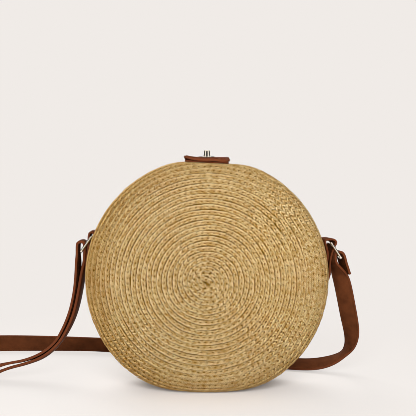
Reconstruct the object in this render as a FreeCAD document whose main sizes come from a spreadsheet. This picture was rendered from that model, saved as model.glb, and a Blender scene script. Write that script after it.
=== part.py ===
import FreeCAD, Part
import math
import os
import types

import Sketcher

# A round straw bag: two shells hinged at the bottom, a leather tab with a turn lock, rings and a strap.
# Millimetres, +Z up. The origin is on the floor under the middle of the seam, and the front faces -Y.

SIZES = (
    # the straw shells
    ("bag_radius", 100, "outer radius of the round shells"),
    ("shell_depth", 40, "from the seam to the middle of a face"),
    ("straw_wall", 2.6, "thickness of the sewn straw braid"),
    ("face_crown", 4, "how far the middle of a face swells"),
    ("shoulder_radius", 11, "rounding between face and side wall"),
    ("floor_flat", 5, "how far the shells sag flat on the floor"),
    ("top_flat", 5, "how far the closure presses the top flat"),
    ("seam_gap", 0.6, "gap between the two rims"),
    ("rim_round", 2, "rounding of the outer edge of a rim"),
    ("cut_overrun", 1, "how far a cutting shape runs past a face"),
    # lining and rim facing
    ("lining_gap", 1.6, "space between straw and lining"),
    ("lining_cloth", 0.6, "thickness of the lining"),
    ("lining_setback", 3.4, "from the seam to the lining's edge"),
    ("facing_seat", 0.3, "gap between straw and rim facing"),
    ("facing_braid", 1, "thickness of the rim facing"),
    ("facing_width", 4.3, "width of the rim facing, one row of braid"),
    ("facing_setback", 2.4, "from the seam to the rim facing"),
    # sewn hinge at the bottom
    ("hinge_loops", 9, "number of thread loops"),
    ("hinge_pitch", 5.5, "distance from loop to loop"),
    ("loop_radius", 1.45, "radius of a loop at the middle of its thread"),
    ("hinge_thread", 0.8, "diameter of the thread"),
    ("needle_clearance", 0.25, "room round the thread in its hole"),
    # lock on the front shell
    ("lock_offset", 12, "from the seam to the lock's axis"),
    ("patch_width", 36, "leather patch, side to side"),
    ("patch_length", 24, "leather patch, front to back"),
    ("patch_setback", 4, "from the seam to the patch"),
    ("patch_leather", 1.2, "thickness of the patch"),
    ("patch_corner", 5, "corner radius of the patch"),
    ("leather_seat", 0.1, "gap under leather that is sewn on straw"),
    ("base_width", 22, "lock plate, side to side"),
    ("base_length", 15, "lock plate, front to back"),
    ("base_metal", 0.6, "thickness of the lock plate"),
    ("base_corner", 6, "corner radius of the lock plate"),
    ("boss_diameter", 6, "boss that the knob turns in"),
    ("stem_diameter", 3, "stem of the knob"),
    ("stem_clearance", 0.04, "running fit of the stem in its bore"),
    ("prong_spacing", 16, "distance between the two prongs"),
    ("prong_width", 3, "width of a prong"),
    ("prong_metal", 0.5, "thickness of a prong"),
    ("prong_tip", 3, "length of a bent tip"),
    ("prong_clearance", 0.2, "room round a prong"),
    ("washer_width", 24, "backing plate, side to side"),
    ("washer_length", 9, "backing plate, front to back"),
    ("washer_metal", 0.7, "thickness of the backing plate"),
    ("washer_corner", 3, "corner radius of the backing plate"),
    ("metal_seat", 0.05, "gap under metal that is clamped"),
    ("retainer_diameter", 5, "ring riveted on the stem"),
    ("retainer_metal", 0.5, "thickness of that ring"),
    ("retainer_clearance", 0.3, "room round that ring in the patch"),
    ("knob_length", 12, "grip of the knob, along the slot"),
    ("knob_width", 6, "grip of the knob, across the slot"),
    ("knob_foot", 1, "height of the knob's foot"),
    ("knob_grip", 4, "height of the grip above its foot"),
    ("knob_step", 0.4, "how far the grip stands in from its foot"),
    ("knob_corner", 2.4, "corner radius of the knob's foot"),
    ("knob_round", 1.2, "rounding along the top of the grip"),
    ("knob_lift", 0.3, "gap between the knob and the tab's frame"),
    # closure tab with its slot
    ("tab_width", 38, "tab, side to side"),
    ("tab_reach", 46, "from the fold to the tab's front end"),
    ("tab_leather", 2, "thickness of the tab"),
    ("tab_corner", 7, "front corner radius of the tab"),
    ("fold_offset", 15, "from the seam back to the fold"),
    ("fold_gap", 0.3, "gap at the fold"),
    ("tab_clearance", 0.3, "gap between the lock plate and the tab's backplate"),
    ("slot_side_clearance", 0.4, "room beside the knob in the slot"),
    ("slot_rear_clearance", 0.8, "room behind the knob in the slot"),
    ("slot_front_clearance", 7, "room in front, for the knob to leave as the mouth opens"),
    ("slot_corner", 3, "corner radius of the slot"),
    ("eyelet_border", 3.2, "width of the metal frame round the slot"),
    ("eyelet_metal", 0.6, "thickness of the metal frame"),
    ("eyelet_back_metal", 0.4, "thickness of its backplate"),
    ("collar_metal", 0.5, "wall of the collar that lines the slot"),
    ("collar_clearance", 0.1, "room round the collar"),
    ("root_shelf", 1.5, "flat part of the tab behind the fold"),
    ("root_slope", 5, "part that runs down to the shell"),
    ("root_sewn", 12, "part that is sewn on the shell"),
    # leather loops on the side wall, and their rings
    ("side_offset", 14, "from the seam back to the middle of the loops"),
    ("side_leather", 1.8, "thickness of a loop's leather"),
    ("side_width", 16, "width of a loop"),
    ("side_drop", 6, "how far a loop reaches below the middle of the bag"),
    ("side_join", 6, "height above the middle where its two layers part"),
    ("side_seat", 0.2, "gap between a loop and the straw"),
    ("bar_clearance", 0.5, "room round the ring's bar in its loop"),
    ("bar_gap_left", 4, "left bar, out from the straw wall"),
    ("bar_rise_left", 31.3, "left bar, above the middle of the bag"),
    ("bar_gap_right", 9.8, "right bar, out from the straw wall"),
    ("bar_rise_right", 26.1, "right bar, above the middle of the bag"),
    ("ring_wire", 2.2, "diameter of the ring's wire"),
    ("ring_inside", 18, "inside width of a ring"),
    ("ring_reach", 15.4, "from one bar of a ring to the other"),
    ("ring_bend", 2, "bend radius at the middle of the wire"),
    ("ring_droop_left", 54.5, "left ring, degrees below level"),
    ("ring_droop_right", 56, "right ring, degrees below level"),
    # strap and its slide
    ("strap_width", 16, "width of the strap"),
    ("strap_leather", 2.4, "thickness of the strap"),
    ("strap_clearance", 0.4, "room round a bar inside a fold of the strap"),
    ("strap_gap", 0.3, "gap between a fold and the free strap"),
    ("leg_left", 8, "length of both legs of the left fold"),
    ("leg_right", 4, "length of the strap's leg of the right fold"),
    ("tail_right", 13, "length of the sewn tail of the right fold"),
    ("leg_lean_left", 7, "degrees that the legs of the left fold lean outwards"),
    ("leg_lean_right", 14, "degrees that the legs of the right fold lean outwards"),
    ("slide_out", 226, "slide, from the middle of the bag to its middle bar"),
    ("slide_height", 6, "underside of the slide above the floor"),
    ("slide_metal", 1.8, "thickness of the slide"),
    ("slide_bar", 3, "width of the slide's middle bar"),
    ("slide_rail", 2.4, "width of the slide's outer bars"),
    ("slide_window", 12, "length of each window of the slide"),
    ("slide_side_room", 0.7, "room beside the strap in a window"),
    ("slide_corner", 2, "corner radius of the slide"),
)

# The strap's route, chosen by hand: each point, and the direction in which the strap is wide there.
# It starts under the right fold, comes down, stands on edge behind the bag and turns back on the left.
STRAP_MAIN_ROUTE = (
    ((115.2, 14, 95), (-0.34, 0.94, 0)),
    ((117.4, 15, 84), (-0.85, 0.53, 0)),
    ((120.8, 18, 71), (-0.95, 0.31, 0)),
    ((125, 24, 53), (-0.95, 0.3, 0.05)),
    ((127.8, 31, 37), (-0.9, 0.4, 0.15)),
    ((127.6, 38, 25), (-0.8, 0.5, 0.3)),
    ((124, 45.5, 15.5), (-0.55, 0.65, 0.5)),
    ((116, 50, 8.6), (-0.25, 0.8, 0.5)),
    ((106, 53, 5.8), (-0.1, 0.88, 0.44)),
    ((92, 57, 4.9), (0, 0.9, 0.43)),
    ((74, 62, 4.9), (0, 0.9, 0.43)),
    ((46, 72, 5.4), (0, 0.85, 0.52)),
    ((2, 88, 6.4), (0, 0.77, 0.64)),
    ((-50, 106, 6.6), (0, 0.74, 0.68)),
    ((-106, 123, 6.6), (0, 0.74, 0.67)),
    ((-160, 130, 7.8), (0, 0.5, 0.87)),
    ((-214, 130, 8.5), (0, 0.1, 1)),
    ((-264, 121, 8.4), (0, 0, 1)),
    ((-300, 102, 8.4), (0, 0, 1)),
    ((-316, 72, 8.4), (0, 0, 1)),
    ((-308, 42, 8.4), (0, 0.15, 1)),
    ((-285, 23, 7.4), (0.2, 0.6, 0.75)),
    ((-262, 15.5, 3.6), (0.05, 1, 0.1)),
    ((-247, 14, 1.8), (0, 1, 0)),
    ((-239.5, 14, 3.2), (0, 1, 0)),
    ((-232, 14, 13.2), (0, 1, 0)),
    ((-222.5, 14, 13.4), (0, 1, 0)),
    ((-215.5, 14, 4.2), (0, 1, 0)),
    ((-206, 14, 4.6), (0, 1, 0)),
)
# The upper layer goes on from there to the left ring.
STRAP_UPPER_ROUTE = (
    ((-206, 14, 4.6), (0, 1, 0)),
    ((-196.5, 14, 5), (0, 1, 0)),
    ((-179, 14, 12), (0, 1, 0)),
    ((-160, 14, 20.5), (0, 1, 0)),
    ((-141, 14, 32), (0, 1, 0)),
    ((-126.5, 14, 47), (0, 1, 0)),
    ((-118.5, 14, 66), (0, 1, 0)),
    ((-114.8, 14, 86), (0, 1, 0)),
)
# The lower layer comes back from the left ring and folds round the slide's middle bar.
STRAP_LOWER_ROUTE = (
    ((-108.8, 14, 86), (0, 1, 0)),
    ((-113.6, 14, 66), (0, 1, 0)),
    ((-122.8, 14, 44.5), (0, 1, 0)),
    ((-138.5, 14, 28), (0, 1, 0)),
    ((-158.5, 14, 16), (0, 1, 0)),
    ((-178, 14, 7), (0, 1, 0)),
    ((-195, 14, 1.6), (0, 1, 0)),
    ((-210, 14, 1.4), (0, 1, 0)),
    ((-221, 14, 2.2), (0, 1, 0)),
    ((-229.6, 14, 3.9), (0, 1, 0)),
    ((-229.6, 14, 9.4), (0, 1, 0)),
    ((-224.5, 14, 9.4), (0, 1, 0)),
)
BEND_RUN_SHARE = 0.45
BEND_STEP_DEGREES = 12

FRONT = -1
BACK = 1
LEFT = -1
RIGHT = 1
# The turn of an arc; an outline drawn for the other side of the bag turns the other way.
TURN_LEFT = 1

doc = FreeCAD.newDocument("circle_bag")
sheet = doc.addObject("Spreadsheet::Sheet", "Sizes")
pieces = []


class Size:
    """A length that keeps both its number and the sheet formula that gives it."""

    def __init__(self, value, formula):
        self.value = value
        self.formula = formula

    def __add__(self, other):
        other = as_size(other)
        return Size(self.value + other.value, f"({self.formula} + {other.formula})")

    def __sub__(self, other):
        other = as_size(other)
        return Size(self.value - other.value, f"({self.formula} - {other.formula})")

    def __mul__(self, other):
        other = as_size(other)
        return Size(self.value * other.value, f"({self.formula} * {other.formula})")

    def __truediv__(self, other):
        other = as_size(other)
        return Size(self.value / other.value, f"({self.formula} / {other.formula})")

    def __rmul__(self, other):
        return as_size(other) * self

    def __neg__(self):
        return as_size(-1) * self


def as_size(amount):
    if isinstance(amount, Size):
        return amount
    return Size(amount, f"({amount})")


def root(amount):
    return Size(math.sqrt(amount.value), f"sqrt({amount.formula})")


def cosine(degrees):
    return Size(math.cos(math.radians(degrees.value)), f"cos({degrees.formula})")


def sine(degrees):
    return Size(math.sin(math.radians(degrees.value)), f"sin({degrees.formula})")


def fill_sheet():
    named = {}
    for row, (name, value, meaning) in enumerate(SIZES, start=1):
        sheet.set(f"A{row}", meaning)
        sheet.set(f"B{row}", str(value))
        sheet.setAlias(f"B{row}", name)
        named[name] = Size(value, f"Sizes.{name}")
    doc.recompute()
    return types.SimpleNamespace(**named)


size = fill_sheet()

# Heights and places that several pieces share.
middle_height = size.bag_radius - size.floor_flat
top_height = middle_height + size.bag_radius - size.top_flat
patch_top = top_height + size.leather_seat + size.patch_leather
base_top = patch_top + size.base_metal
tab_under = base_top + size.tab_clearance + size.eyelet_back_metal
tab_top = tab_under + size.tab_leather
eyelet_top = tab_top + size.eyelet_metal
knob_under = eyelet_top + size.knob_lift
lock_place = -size.lock_offset
slot_width = size.knob_width + 2 * size.slot_side_clearance
slot_rear = lock_place + size.knob_length / 2 + size.slot_rear_clearance
slot_front = lock_place - size.knob_length / 2 - size.slot_front_clearance
bar_radius = size.ring_wire / 2
half_strap = size.strap_width / 2


def bind(thing, name, amount):
    thing.setExpression(name, as_size(amount).formula)


def place(thing, x=0, y=0, z=0):
    for axis, amount in (("x", x), ("y", y), ("z", z)):
        bind(thing, f"Placement.Base.{axis}", amount)


def keep(thing, label):
    """Take a finished piece into the list that is written out."""
    thing.Label = label
    pieces.append(thing)
    return thing


# Sketches

def new_body(name, x=0, y=0, z=0):
    body = doc.addObject("PartDesign::Body", name)
    place(body, x, y, z)
    return body


def new_sketch(body, role, lift=0):
    """A sketch on one of the body's own planes, lifted along that plane's normal."""
    sketch = body.newObject("Sketcher::SketchObject", f"{body.Name}_sketch")
    plane = [feature for feature in body.Origin.OriginFeatures if feature.Role == role][0]
    sketch.AttachmentSupport = (plane, [""])
    sketch.MapMode = "FlatFace"
    bind(sketch, "AttachmentOffset.Base.z", lift)
    return sketch


def add_dimension(sketch, constraint, amount):
    number = sketch.addConstraint(constraint)
    sketch.setExpression(f"Constraints[{number}]", amount.formula)


def fix_coordinate(sketch, kind, axis, geometry, end, amount):
    """Hold one coordinate of a point at a size measured from the sketch's origin."""
    if amount.value == 0:
        sketch.addConstraint(Sketcher.Constraint("PointOnObject", geometry, end, axis))
    elif amount.value > 0:
        add_dimension(sketch, Sketcher.Constraint(kind, -1, 1, geometry, end, amount.value), amount)
    else:
        add_dimension(sketch, Sketcher.Constraint(kind, geometry, end, -1, 1, -amount.value), -amount)


def fix_point(sketch, geometry, end, corner):
    fix_coordinate(sketch, "DistanceX", -2, geometry, end, as_size(corner[0]))
    fix_coordinate(sketch, "DistanceY", -1, geometry, end, as_size(corner[1]))


def flat_point(corner):
    return FreeCAD.Vector(as_size(corner[0]).value, as_size(corner[1]).value, 0)


def add_arc(sketch, start, finish, radius, turn):
    """An arc of under half a circle, which turns to the left or the right of the way it is drawn."""
    chord = finish - start
    across = FreeCAD.Vector(-chord.y, chord.x, 0).normalize()
    reach = math.sqrt(max(radius.value ** 2 - (chord.Length / 2) ** 2, 0))
    centre = (start + finish) / 2 + across * reach * turn
    first, last = (start, finish) if turn == TURN_LEFT else (finish, start)
    angles = [math.atan2(end.y - centre.y, end.x - centre.x) for end in (first, last)]
    circle = Part.Circle(centre, FreeCAD.Vector(0, 0, 1), radius.value)
    geometry = sketch.addGeometry(Part.ArcOfCircle(circle, angles[0], angles[1]))
    add_dimension(sketch, Sketcher.Constraint("Radius", geometry, radius.value), radius)
    return (geometry, 1, 2) if turn == TURN_LEFT else (geometry, 2, 1)


def add_outline(sketch, corners, bends=None):
    """A closed outline; bends gives the radius and turn of each side that is an arc, by its number."""
    bends = bends or {}
    sides = []
    for number, corner in enumerate(corners):
        start = flat_point(corner)
        finish = flat_point(corners[(number + 1) % len(corners)])
        if number in bends:
            radius, turn = bends[number]
            sides.append(add_arc(sketch, start, finish, radius, turn))
        else:
            sides.append((sketch.addGeometry(Part.LineSegment(start, finish)), 1, 2))
    for number, (geometry, first, last) in enumerate(sides):
        following, following_first, _ = sides[(number + 1) % len(sides)]
        sketch.addConstraint(Sketcher.Constraint("Coincident", geometry, last, following, following_first))
        fix_point(sketch, geometry, first, corners[number])


def add_box(sketch, low, high):
    add_outline(sketch, (low, (high[0], low[1]), high, (low[0], high[1])))


def add_round_box(sketch, low, high, corner):
    """A rectangle with rounded corners, drawn to the left."""
    corners = (
        (low[0] + corner, low[1]), (high[0] - corner, low[1]),
        (high[0], low[1] + corner), (high[0], high[1] - corner),
        (high[0] - corner, high[1]), (low[0] + corner, high[1]),
        (low[0], high[1] - corner), (low[0], low[1] + corner),
    )
    bend = (corner, TURN_LEFT)
    add_outline(sketch, corners, {1: bend, 3: bend, 5: bend, 7: bend})


def add_circle(sketch, diameter):
    geometry = sketch.addGeometry(Part.Circle(FreeCAD.Vector(), FreeCAD.Vector(0, 0, 1), diameter.value / 2))
    add_dimension(sketch, Sketcher.Constraint("Diameter", geometry, diameter.value), diameter)
    sketch.addConstraint(Sketcher.Constraint("Coincident", geometry, 3, -1, 1))


def pad(body, sketch, length, downwards=False):
    feature = body.newObject("PartDesign::Pad", f"{body.Name}_pad")
    feature.Profile = sketch
    feature.Reversed = downwards
    bind(feature, "Length", length)
    return feature


# Straw shells

def pan(name, side, inset, mouth, round_rim=False):
    """The round body of one half, drawn in by inset and open at mouth, pressed flat at floor and top."""
    full = size.bag_radius - inset
    turned = new_body(f"{name}_turned", z=middle_height)
    sketch = new_sketch(turned, "YZ_Plane")
    flat_half = size.bag_radius - size.shoulder_radius
    crown_edge = size.shell_depth - size.face_crown
    dome = (flat_half * flat_half + size.face_crown * size.face_crown) / (2 * size.face_crown)
    corners = [
        (side * mouth, 0),
        (side * (size.shell_depth - inset), 0),
        (side * (crown_edge - inset), flat_half),
        (side * (crown_edge - size.shoulder_radius), full),
    ]
    bends = {1: (dome, side), 2: (size.shoulder_radius - inset, side)}
    rim_bend = (size.rim_round, side)
    if round_rim:
        corners.append((side * (mouth + size.rim_round), full))
        corners.append((side * mouth, full - size.rim_round))
        bends[4] = rim_bend
    else:
        corners.append((side * mouth, full))
    add_outline(sketch, corners, bends)
    revolution = turned.newObject("PartDesign::Revolution", f"{name}_revolution")
    revolution.Profile = sketch
    revolution.ReferenceAxis = (sketch, ["H_Axis"])

    pressed = new_body(f"{name}_pressed", z=middle_height)
    half_width = size.bag_radius + size.cut_overrun
    sketch = new_sketch(pressed, "YZ_Plane", -half_width)
    low = inset - middle_height
    high = top_height - middle_height - inset
    far = side * (size.shell_depth + size.cut_overrun)
    near = side * mouth
    if round_rim:
        inner = side * (mouth + size.rim_round)
        corners = (
            (inner, low), (far, low), (far, high), (inner, high),
            (near, high - size.rim_round), (near, low + size.rim_round),
        )
        add_outline(sketch, corners, {3: rim_bend, 5: rim_bend})
    else:
        add_box(sketch, (near, low), (far, high))
    pad(pressed, sketch, 2 * half_width)

    both = doc.addObject("Part::Common", f"{name}_pan")
    both.Base = turned
    both.Tool = pressed
    return both


def cut(name, base, tool):
    result = doc.addObject("Part::Cut", name)
    result.Base = base
    result.Tool = tool
    return result


def thread_loops(name, radius):
    """The row of sewn loops at the bottom of the seam, or the holes for them."""
    loops = []
    count = int(size.hinge_loops.value)
    for number in range(count):
        loop = doc.addObject("Part::Torus", f"{name}_{number}")
        bind(loop, "Radius1", size.loop_radius)
        bind(loop, "Radius2", radius)
        loop.Placement = FreeCAD.Placement(
            FreeCAD.Vector(), FreeCAD.Rotation(FreeCAD.Vector(0, 1, 0), 90))
        place(loop, x=size.hinge_pitch * (number - (count - 1) / 2), z=size.rim_round)
        loops.append(loop)
    group = doc.addObject("Part::Compound", name)
    group.Links = loops
    return group


def add_prong_openings(sketch):
    """The two openings that the lock's prongs go through."""
    for side in (LEFT, RIGHT):
        middle = side * size.prong_spacing / 2
        reach = size.prong_metal / 2 + size.prong_clearance
        half = size.prong_width / 2 + size.prong_clearance
        add_box(sketch, (middle - reach, -half), (middle + reach, half))


def prong_slots(body, thickness):
    """The openings for the prongs, cut down through a plate that lies on the body's origin."""
    sketch = new_sketch(body, "XY_Plane", thickness)
    add_prong_openings(sketch)
    pocket = body.newObject("PartDesign::Pocket", f"{body.Name}_slots")
    pocket.Profile = sketch
    bind(pocket, "Length", thickness)


def shell(label, side):
    rim = size.seam_gap / 2
    outside = pan(f"{label}_outside", side, as_size(0), rim, round_rim=True)
    inside = pan(f"{label}_inside", side, size.straw_wall, -size.cut_overrun)
    hollow = cut(f"{label}_hollow", outside, inside)
    holes = thread_loops(f"{label}_holes", size.hinge_thread / 2 + size.needle_clearance)
    sewn = cut(f"{label}_sewn", hollow, holes)
    if side == BACK:
        return keep(sewn, label)
    tool = new_body(f"{label}_prongs", y=lock_place, z=top_height - size.straw_wall - size.cut_overrun)
    sketch = new_sketch(tool, "XY_Plane")
    add_prong_openings(sketch)
    slot_pad = pad(tool, sketch, size.straw_wall + 2 * size.cut_overrun)
    slot_pad.AllowMultiFace = True
    return keep(cut(f"{label}_slotted", sewn, tool), label)


def lining(label, side):
    inset = size.straw_wall + size.lining_gap
    outside = pan(f"{label}_outside", side, inset, size.lining_setback)
    inside = pan(f"{label}_inside", side, inset + size.lining_cloth, size.lining_setback - size.cut_overrun)
    keep(cut(f"{label}_cloth", outside, inside), label)


def rim_facing(label, side):
    inset = size.straw_wall + size.facing_seat
    outside = pan(f"{label}_outside", side, inset, size.facing_setback)
    inside = pan(f"{label}_inside", side, inset + size.facing_braid, size.facing_setback - size.cut_overrun)
    sleeve = cut(f"{label}_sleeve", outside, inside)
    band = new_body(f"{label}_band", z=middle_height)
    sketch = new_sketch(band, "XZ_Plane", -side * size.facing_setback)
    reach = size.bag_radius + size.cut_overrun
    add_box(sketch, (-reach, -reach), (reach, reach))
    pad(band, sketch, size.facing_width, downwards=side == BACK)
    row = doc.addObject("Part::Common", f"{label}_row")
    row.Base = sleeve
    row.Tool = band
    keep(row, label)


# Lock on the front shell

def lock_patch():
    body = new_body("lock_patch_body", y=lock_place, z=top_height + size.leather_seat)
    sketch = new_sketch(body, "XY_Plane")
    rear = size.lock_offset - size.patch_setback
    half = size.patch_width / 2
    add_round_box(sketch, (-half, rear - size.patch_length), (half, rear), size.patch_corner)
    add_circle(sketch, size.retainer_diameter + 2 * size.retainer_clearance)
    pad(body, sketch, size.patch_leather)
    prong_slots(body, size.patch_leather)
    keep(body, "lock_patch")


def lock_base():
    body = new_body("lock_base_body", y=lock_place, z=patch_top)
    sketch = new_sketch(body, "XY_Plane")
    half = size.base_width / 2
    long_half = size.base_length / 2
    add_round_box(sketch, (-half, -long_half), (half, long_half), size.base_corner)
    pad(body, sketch, size.base_metal)

    sketch = new_sketch(body, "XY_Plane")
    add_circle(sketch, size.boss_diameter)
    boss_top = knob_under - size.metal_seat - patch_top
    pad(body, sketch, boss_top)

    layers = size.patch_leather + size.leather_seat + size.straw_wall + size.washer_metal
    through = layers + 2 * size.metal_seat
    for side in (LEFT, RIGHT):
        inner = side * (size.prong_spacing - size.prong_metal) / 2
        outer = side * (size.prong_spacing + size.prong_metal) / 2
        across = size.prong_width / 2
        sketch = new_sketch(body, "XY_Plane")
        add_box(sketch, (inner, -across), (outer, across))
        pad(body, sketch, through + size.prong_metal, downwards=True)
        sketch = new_sketch(body, "XY_Plane", -through)
        tip = inner - side * size.prong_tip
        add_box(sketch, (tip, -across), (outer, across))
        pad(body, sketch, size.prong_metal, downwards=True)

    sketch = new_sketch(body, "XY_Plane", boss_top)
    add_circle(sketch, size.stem_diameter + 2 * size.stem_clearance)
    bore = body.newObject("PartDesign::Pocket", "lock_base_bore")
    bore.Profile = sketch
    bind(bore, "Length", boss_top)
    keep(body, "lock_base")


def lock_washer():
    under = top_height - size.straw_wall - size.metal_seat - size.washer_metal
    body = new_body("lock_washer_body", y=lock_place, z=under)
    sketch = new_sketch(body, "XY_Plane")
    half = size.washer_width / 2
    long_half = size.washer_length / 2
    add_round_box(sketch, (-half, -long_half), (half, long_half), size.washer_corner)
    pad(body, sketch, size.washer_metal)
    prong_slots(body, size.washer_metal)
    keep(body, "lock_washer")


def lock_knob():
    body = new_body("lock_knob_body", y=lock_place, z=knob_under)
    half = size.knob_width / 2
    long_half = size.knob_length / 2
    sketch = new_sketch(body, "XY_Plane")
    add_round_box(sketch, (-half, -long_half), (half, long_half), size.knob_corner)
    pad(body, sketch, size.knob_foot)
    sketch = new_sketch(body, "XY_Plane")
    add_circle(sketch, size.stem_diameter)
    stem = knob_under - patch_top + size.metal_seat + size.retainer_metal
    pad(body, sketch, stem, downwards=True)
    sketch = new_sketch(body, "XY_Plane", size.knob_foot)
    half = half - size.knob_step
    long_half = long_half - size.knob_step
    add_round_box(sketch, (-half, -long_half), (half, long_half), size.knob_corner - size.knob_step)
    grip = pad(body, sketch, size.knob_grip)
    doc.recompute()
    highest = [
        f"Edge{number}" for number, edge in enumerate(grip.Shape.Edges, start=1)
        if edge.BoundBox.ZMin > size.knob_foot.value + size.knob_grip.value / 2
    ]
    rounding = body.newObject("PartDesign::Fillet", "lock_knob_rounding")
    rounding.Base = (grip, highest)
    bind(rounding, "Radius", size.knob_round)
    keep(body, "lock_knob")


def knob_retainer():
    body = new_body("knob_retainer_body", y=lock_place, z=patch_top - size.metal_seat)
    sketch = new_sketch(body, "XY_Plane")
    add_circle(sketch, size.retainer_diameter)
    add_circle(sketch, size.stem_diameter + 2 * size.stem_clearance)
    pad(body, sketch, size.retainer_metal, downwards=True)
    keep(body, "knob_retainer")


# Closure tab

def slot_outline(sketch, border):
    """The tab's slot, widened by border on every side."""
    half = slot_width / 2 + border
    add_round_box(sketch, (-half, slot_front - border), (half, slot_rear + border), size.slot_corner + border)


def closure_tab():
    body = new_body("closure_tab_body", z=tab_under)
    sketch = new_sketch(body, "XY_Plane")
    half = size.tab_width / 2
    rear = size.fold_offset - size.fold_gap / 2
    front = size.fold_offset - size.tab_reach
    corners = (
        (-half, rear), (-half, front + size.tab_corner), (size.tab_corner - half, front),
        (half - size.tab_corner, front), (half, front + size.tab_corner), (half, rear),
    )
    bend = (size.tab_corner, TURN_LEFT)
    add_outline(sketch, corners, {1: bend, 3: bend})
    slot_outline(sketch, size.collar_metal + size.collar_clearance)
    pad(body, sketch, size.tab_leather)
    keep(body, "closure_tab")


def eyelet_plate():
    body = new_body("eyelet_plate_body", z=tab_top)
    sketch = new_sketch(body, "XY_Plane")
    slot_outline(sketch, size.eyelet_border)
    slot_outline(sketch, as_size(0))
    pad(body, sketch, size.eyelet_metal)
    sketch = new_sketch(body, "XY_Plane")
    slot_outline(sketch, size.collar_metal)
    slot_outline(sketch, as_size(0))
    pad(body, sketch, size.tab_leather + size.eyelet_back_metal, downwards=True)
    keep(body, "eyelet_plate")


def eyelet_backplate():
    body = new_body("eyelet_backplate_body", z=tab_under - size.eyelet_back_metal)
    sketch = new_sketch(body, "XY_Plane")
    slot_outline(sketch, size.eyelet_border)
    slot_outline(sketch, size.collar_metal + size.collar_clearance)
    pad(body, sketch, size.eyelet_back_metal)
    keep(body, "eyelet_backplate")


def tab_root():
    """The tab behind its fold: level, then down to the shell, then sewn flat on it."""
    body = new_body("tab_root_body")
    half = size.tab_width / 2
    sketch = new_sketch(body, "YZ_Plane", -half)
    seat = top_height + size.leather_seat
    drop = tab_under - seat
    slope = root(drop * drop + size.root_slope * size.root_slope)
    skew = size.tab_leather * drop / (size.root_slope + slope)
    start = size.fold_offset + size.fold_gap / 2
    knee = start + size.root_shelf
    foot = knee + size.root_slope
    end = foot + size.root_sewn
    corners = (
        (start, tab_under), (knee - skew, tab_under), (foot - skew, seat), (end, seat),
        (end, seat + size.tab_leather), (foot, seat + size.tab_leather), (knee, tab_top), (start, tab_top),
    )
    add_outline(sketch, corners)
    pad(body, sketch, size.tab_width)
    keep(body, "tab_root")


# Side loops and rings

def on_wall(radius, rise):
    """Distance from the bag's middle to a round wall of this radius, at a height above the middle."""
    return root(radius * radius - rise * rise)


def bar_place(side):
    """Place of the ring's inner bar: out from the bag's middle, and above it."""
    if side == LEFT:
        return on_wall(size.bag_radius, size.bar_rise_left) + size.bar_gap_left, size.bar_rise_left
    return on_wall(size.bag_radius, size.bar_rise_right) + size.bar_gap_right, size.bar_rise_right


def side_tab(label, side):
    """A leather strip that lies on the wall, turns round the ring's bar and comes straight down again."""
    body = new_body(f"{label}_body", y=size.side_offset, z=middle_height)
    sketch = new_sketch(body, "XZ_Plane", -size.side_width / 2)
    out, rise = bar_place(side)
    seat = size.bag_radius + size.side_seat
    lined = seat + size.side_leather
    inner = bar_radius + size.bar_clearance
    outer = inner + size.side_leather
    low = on_wall(seat, size.side_drop)
    corners = (
        (side * low, -size.side_drop),
        (side * (low + 2 * size.side_leather), -size.side_drop),
        (side * (out + outer), rise),
        (side * out, rise + outer),
        (side * on_wall(seat, rise + outer), rise + outer),
    )
    add_outline(sketch, corners, {2: (outer, side), 4: (seat, -side)})
    corners = (
        (side * on_wall(lined, size.side_join), size.side_join),
        (side * (out + inner), rise),
        (side * out, rise + inner),
        (side * on_wall(lined, rise + inner), rise + inner),
    )
    add_outline(sketch, corners, {1: (inner, side), 3: (lined, -side)})
    pad(body, sketch, size.side_width)
    keep(body, label)


def turn_about_y(thing, degrees):
    thing.Placement = FreeCAD.Placement(
        FreeCAD.Vector(), FreeCAD.Rotation(FreeCAD.Vector(0, 1, 0), degrees.value))
    bind(thing, "Placement.Rotation.Angle", degrees)


def droop(side):
    """Angle of a ring about +Y from straight right, so that it hangs outwards and down."""
    if side == LEFT:
        return as_size(180) - size.ring_droop_left
    return size.ring_droop_right


def metal_ring(label, side):
    out, rise = bar_place(side)
    body = doc.addObject("PartDesign::Body", f"{label}_body")
    turn_about_y(body, droop(side))
    place(body, side * out, size.side_offset, middle_height + rise)
    path = new_sketch(body, "XY_Plane")
    half = (size.ring_inside + size.ring_wire) / 2
    bend = size.ring_bend
    corner = (bend, TURN_LEFT)
    reach = size.ring_reach
    corners = (
        (0, 0), (0, bend - half), (bend, -half), (reach - bend, -half),
        (reach, bend - half), (reach, half - bend), (reach - bend, half), (bend, half), (0, half - bend),
    )
    add_outline(path, corners, {1: corner, 3: corner, 5: corner, 7: corner})
    section = new_sketch(body, "XZ_Plane")
    add_circle(section, size.ring_wire)
    doc.recompute()
    wire = body.newObject("PartDesign::AdditivePipe", f"{label}_wire")
    wire.Profile = section
    wire.Spine = path
    keep(body, label)


def far_bar(side):
    """Place of the ring's outer bar, where the strap hangs."""
    out, rise = bar_place(side)
    angle = droop(side)
    return (
        side * out + size.ring_reach * cosine(angle),
        middle_height + rise - size.ring_reach * sine(angle),
    )


def leg_lean(side):
    return size.leg_lean_left if side == LEFT else size.leg_lean_right


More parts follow.
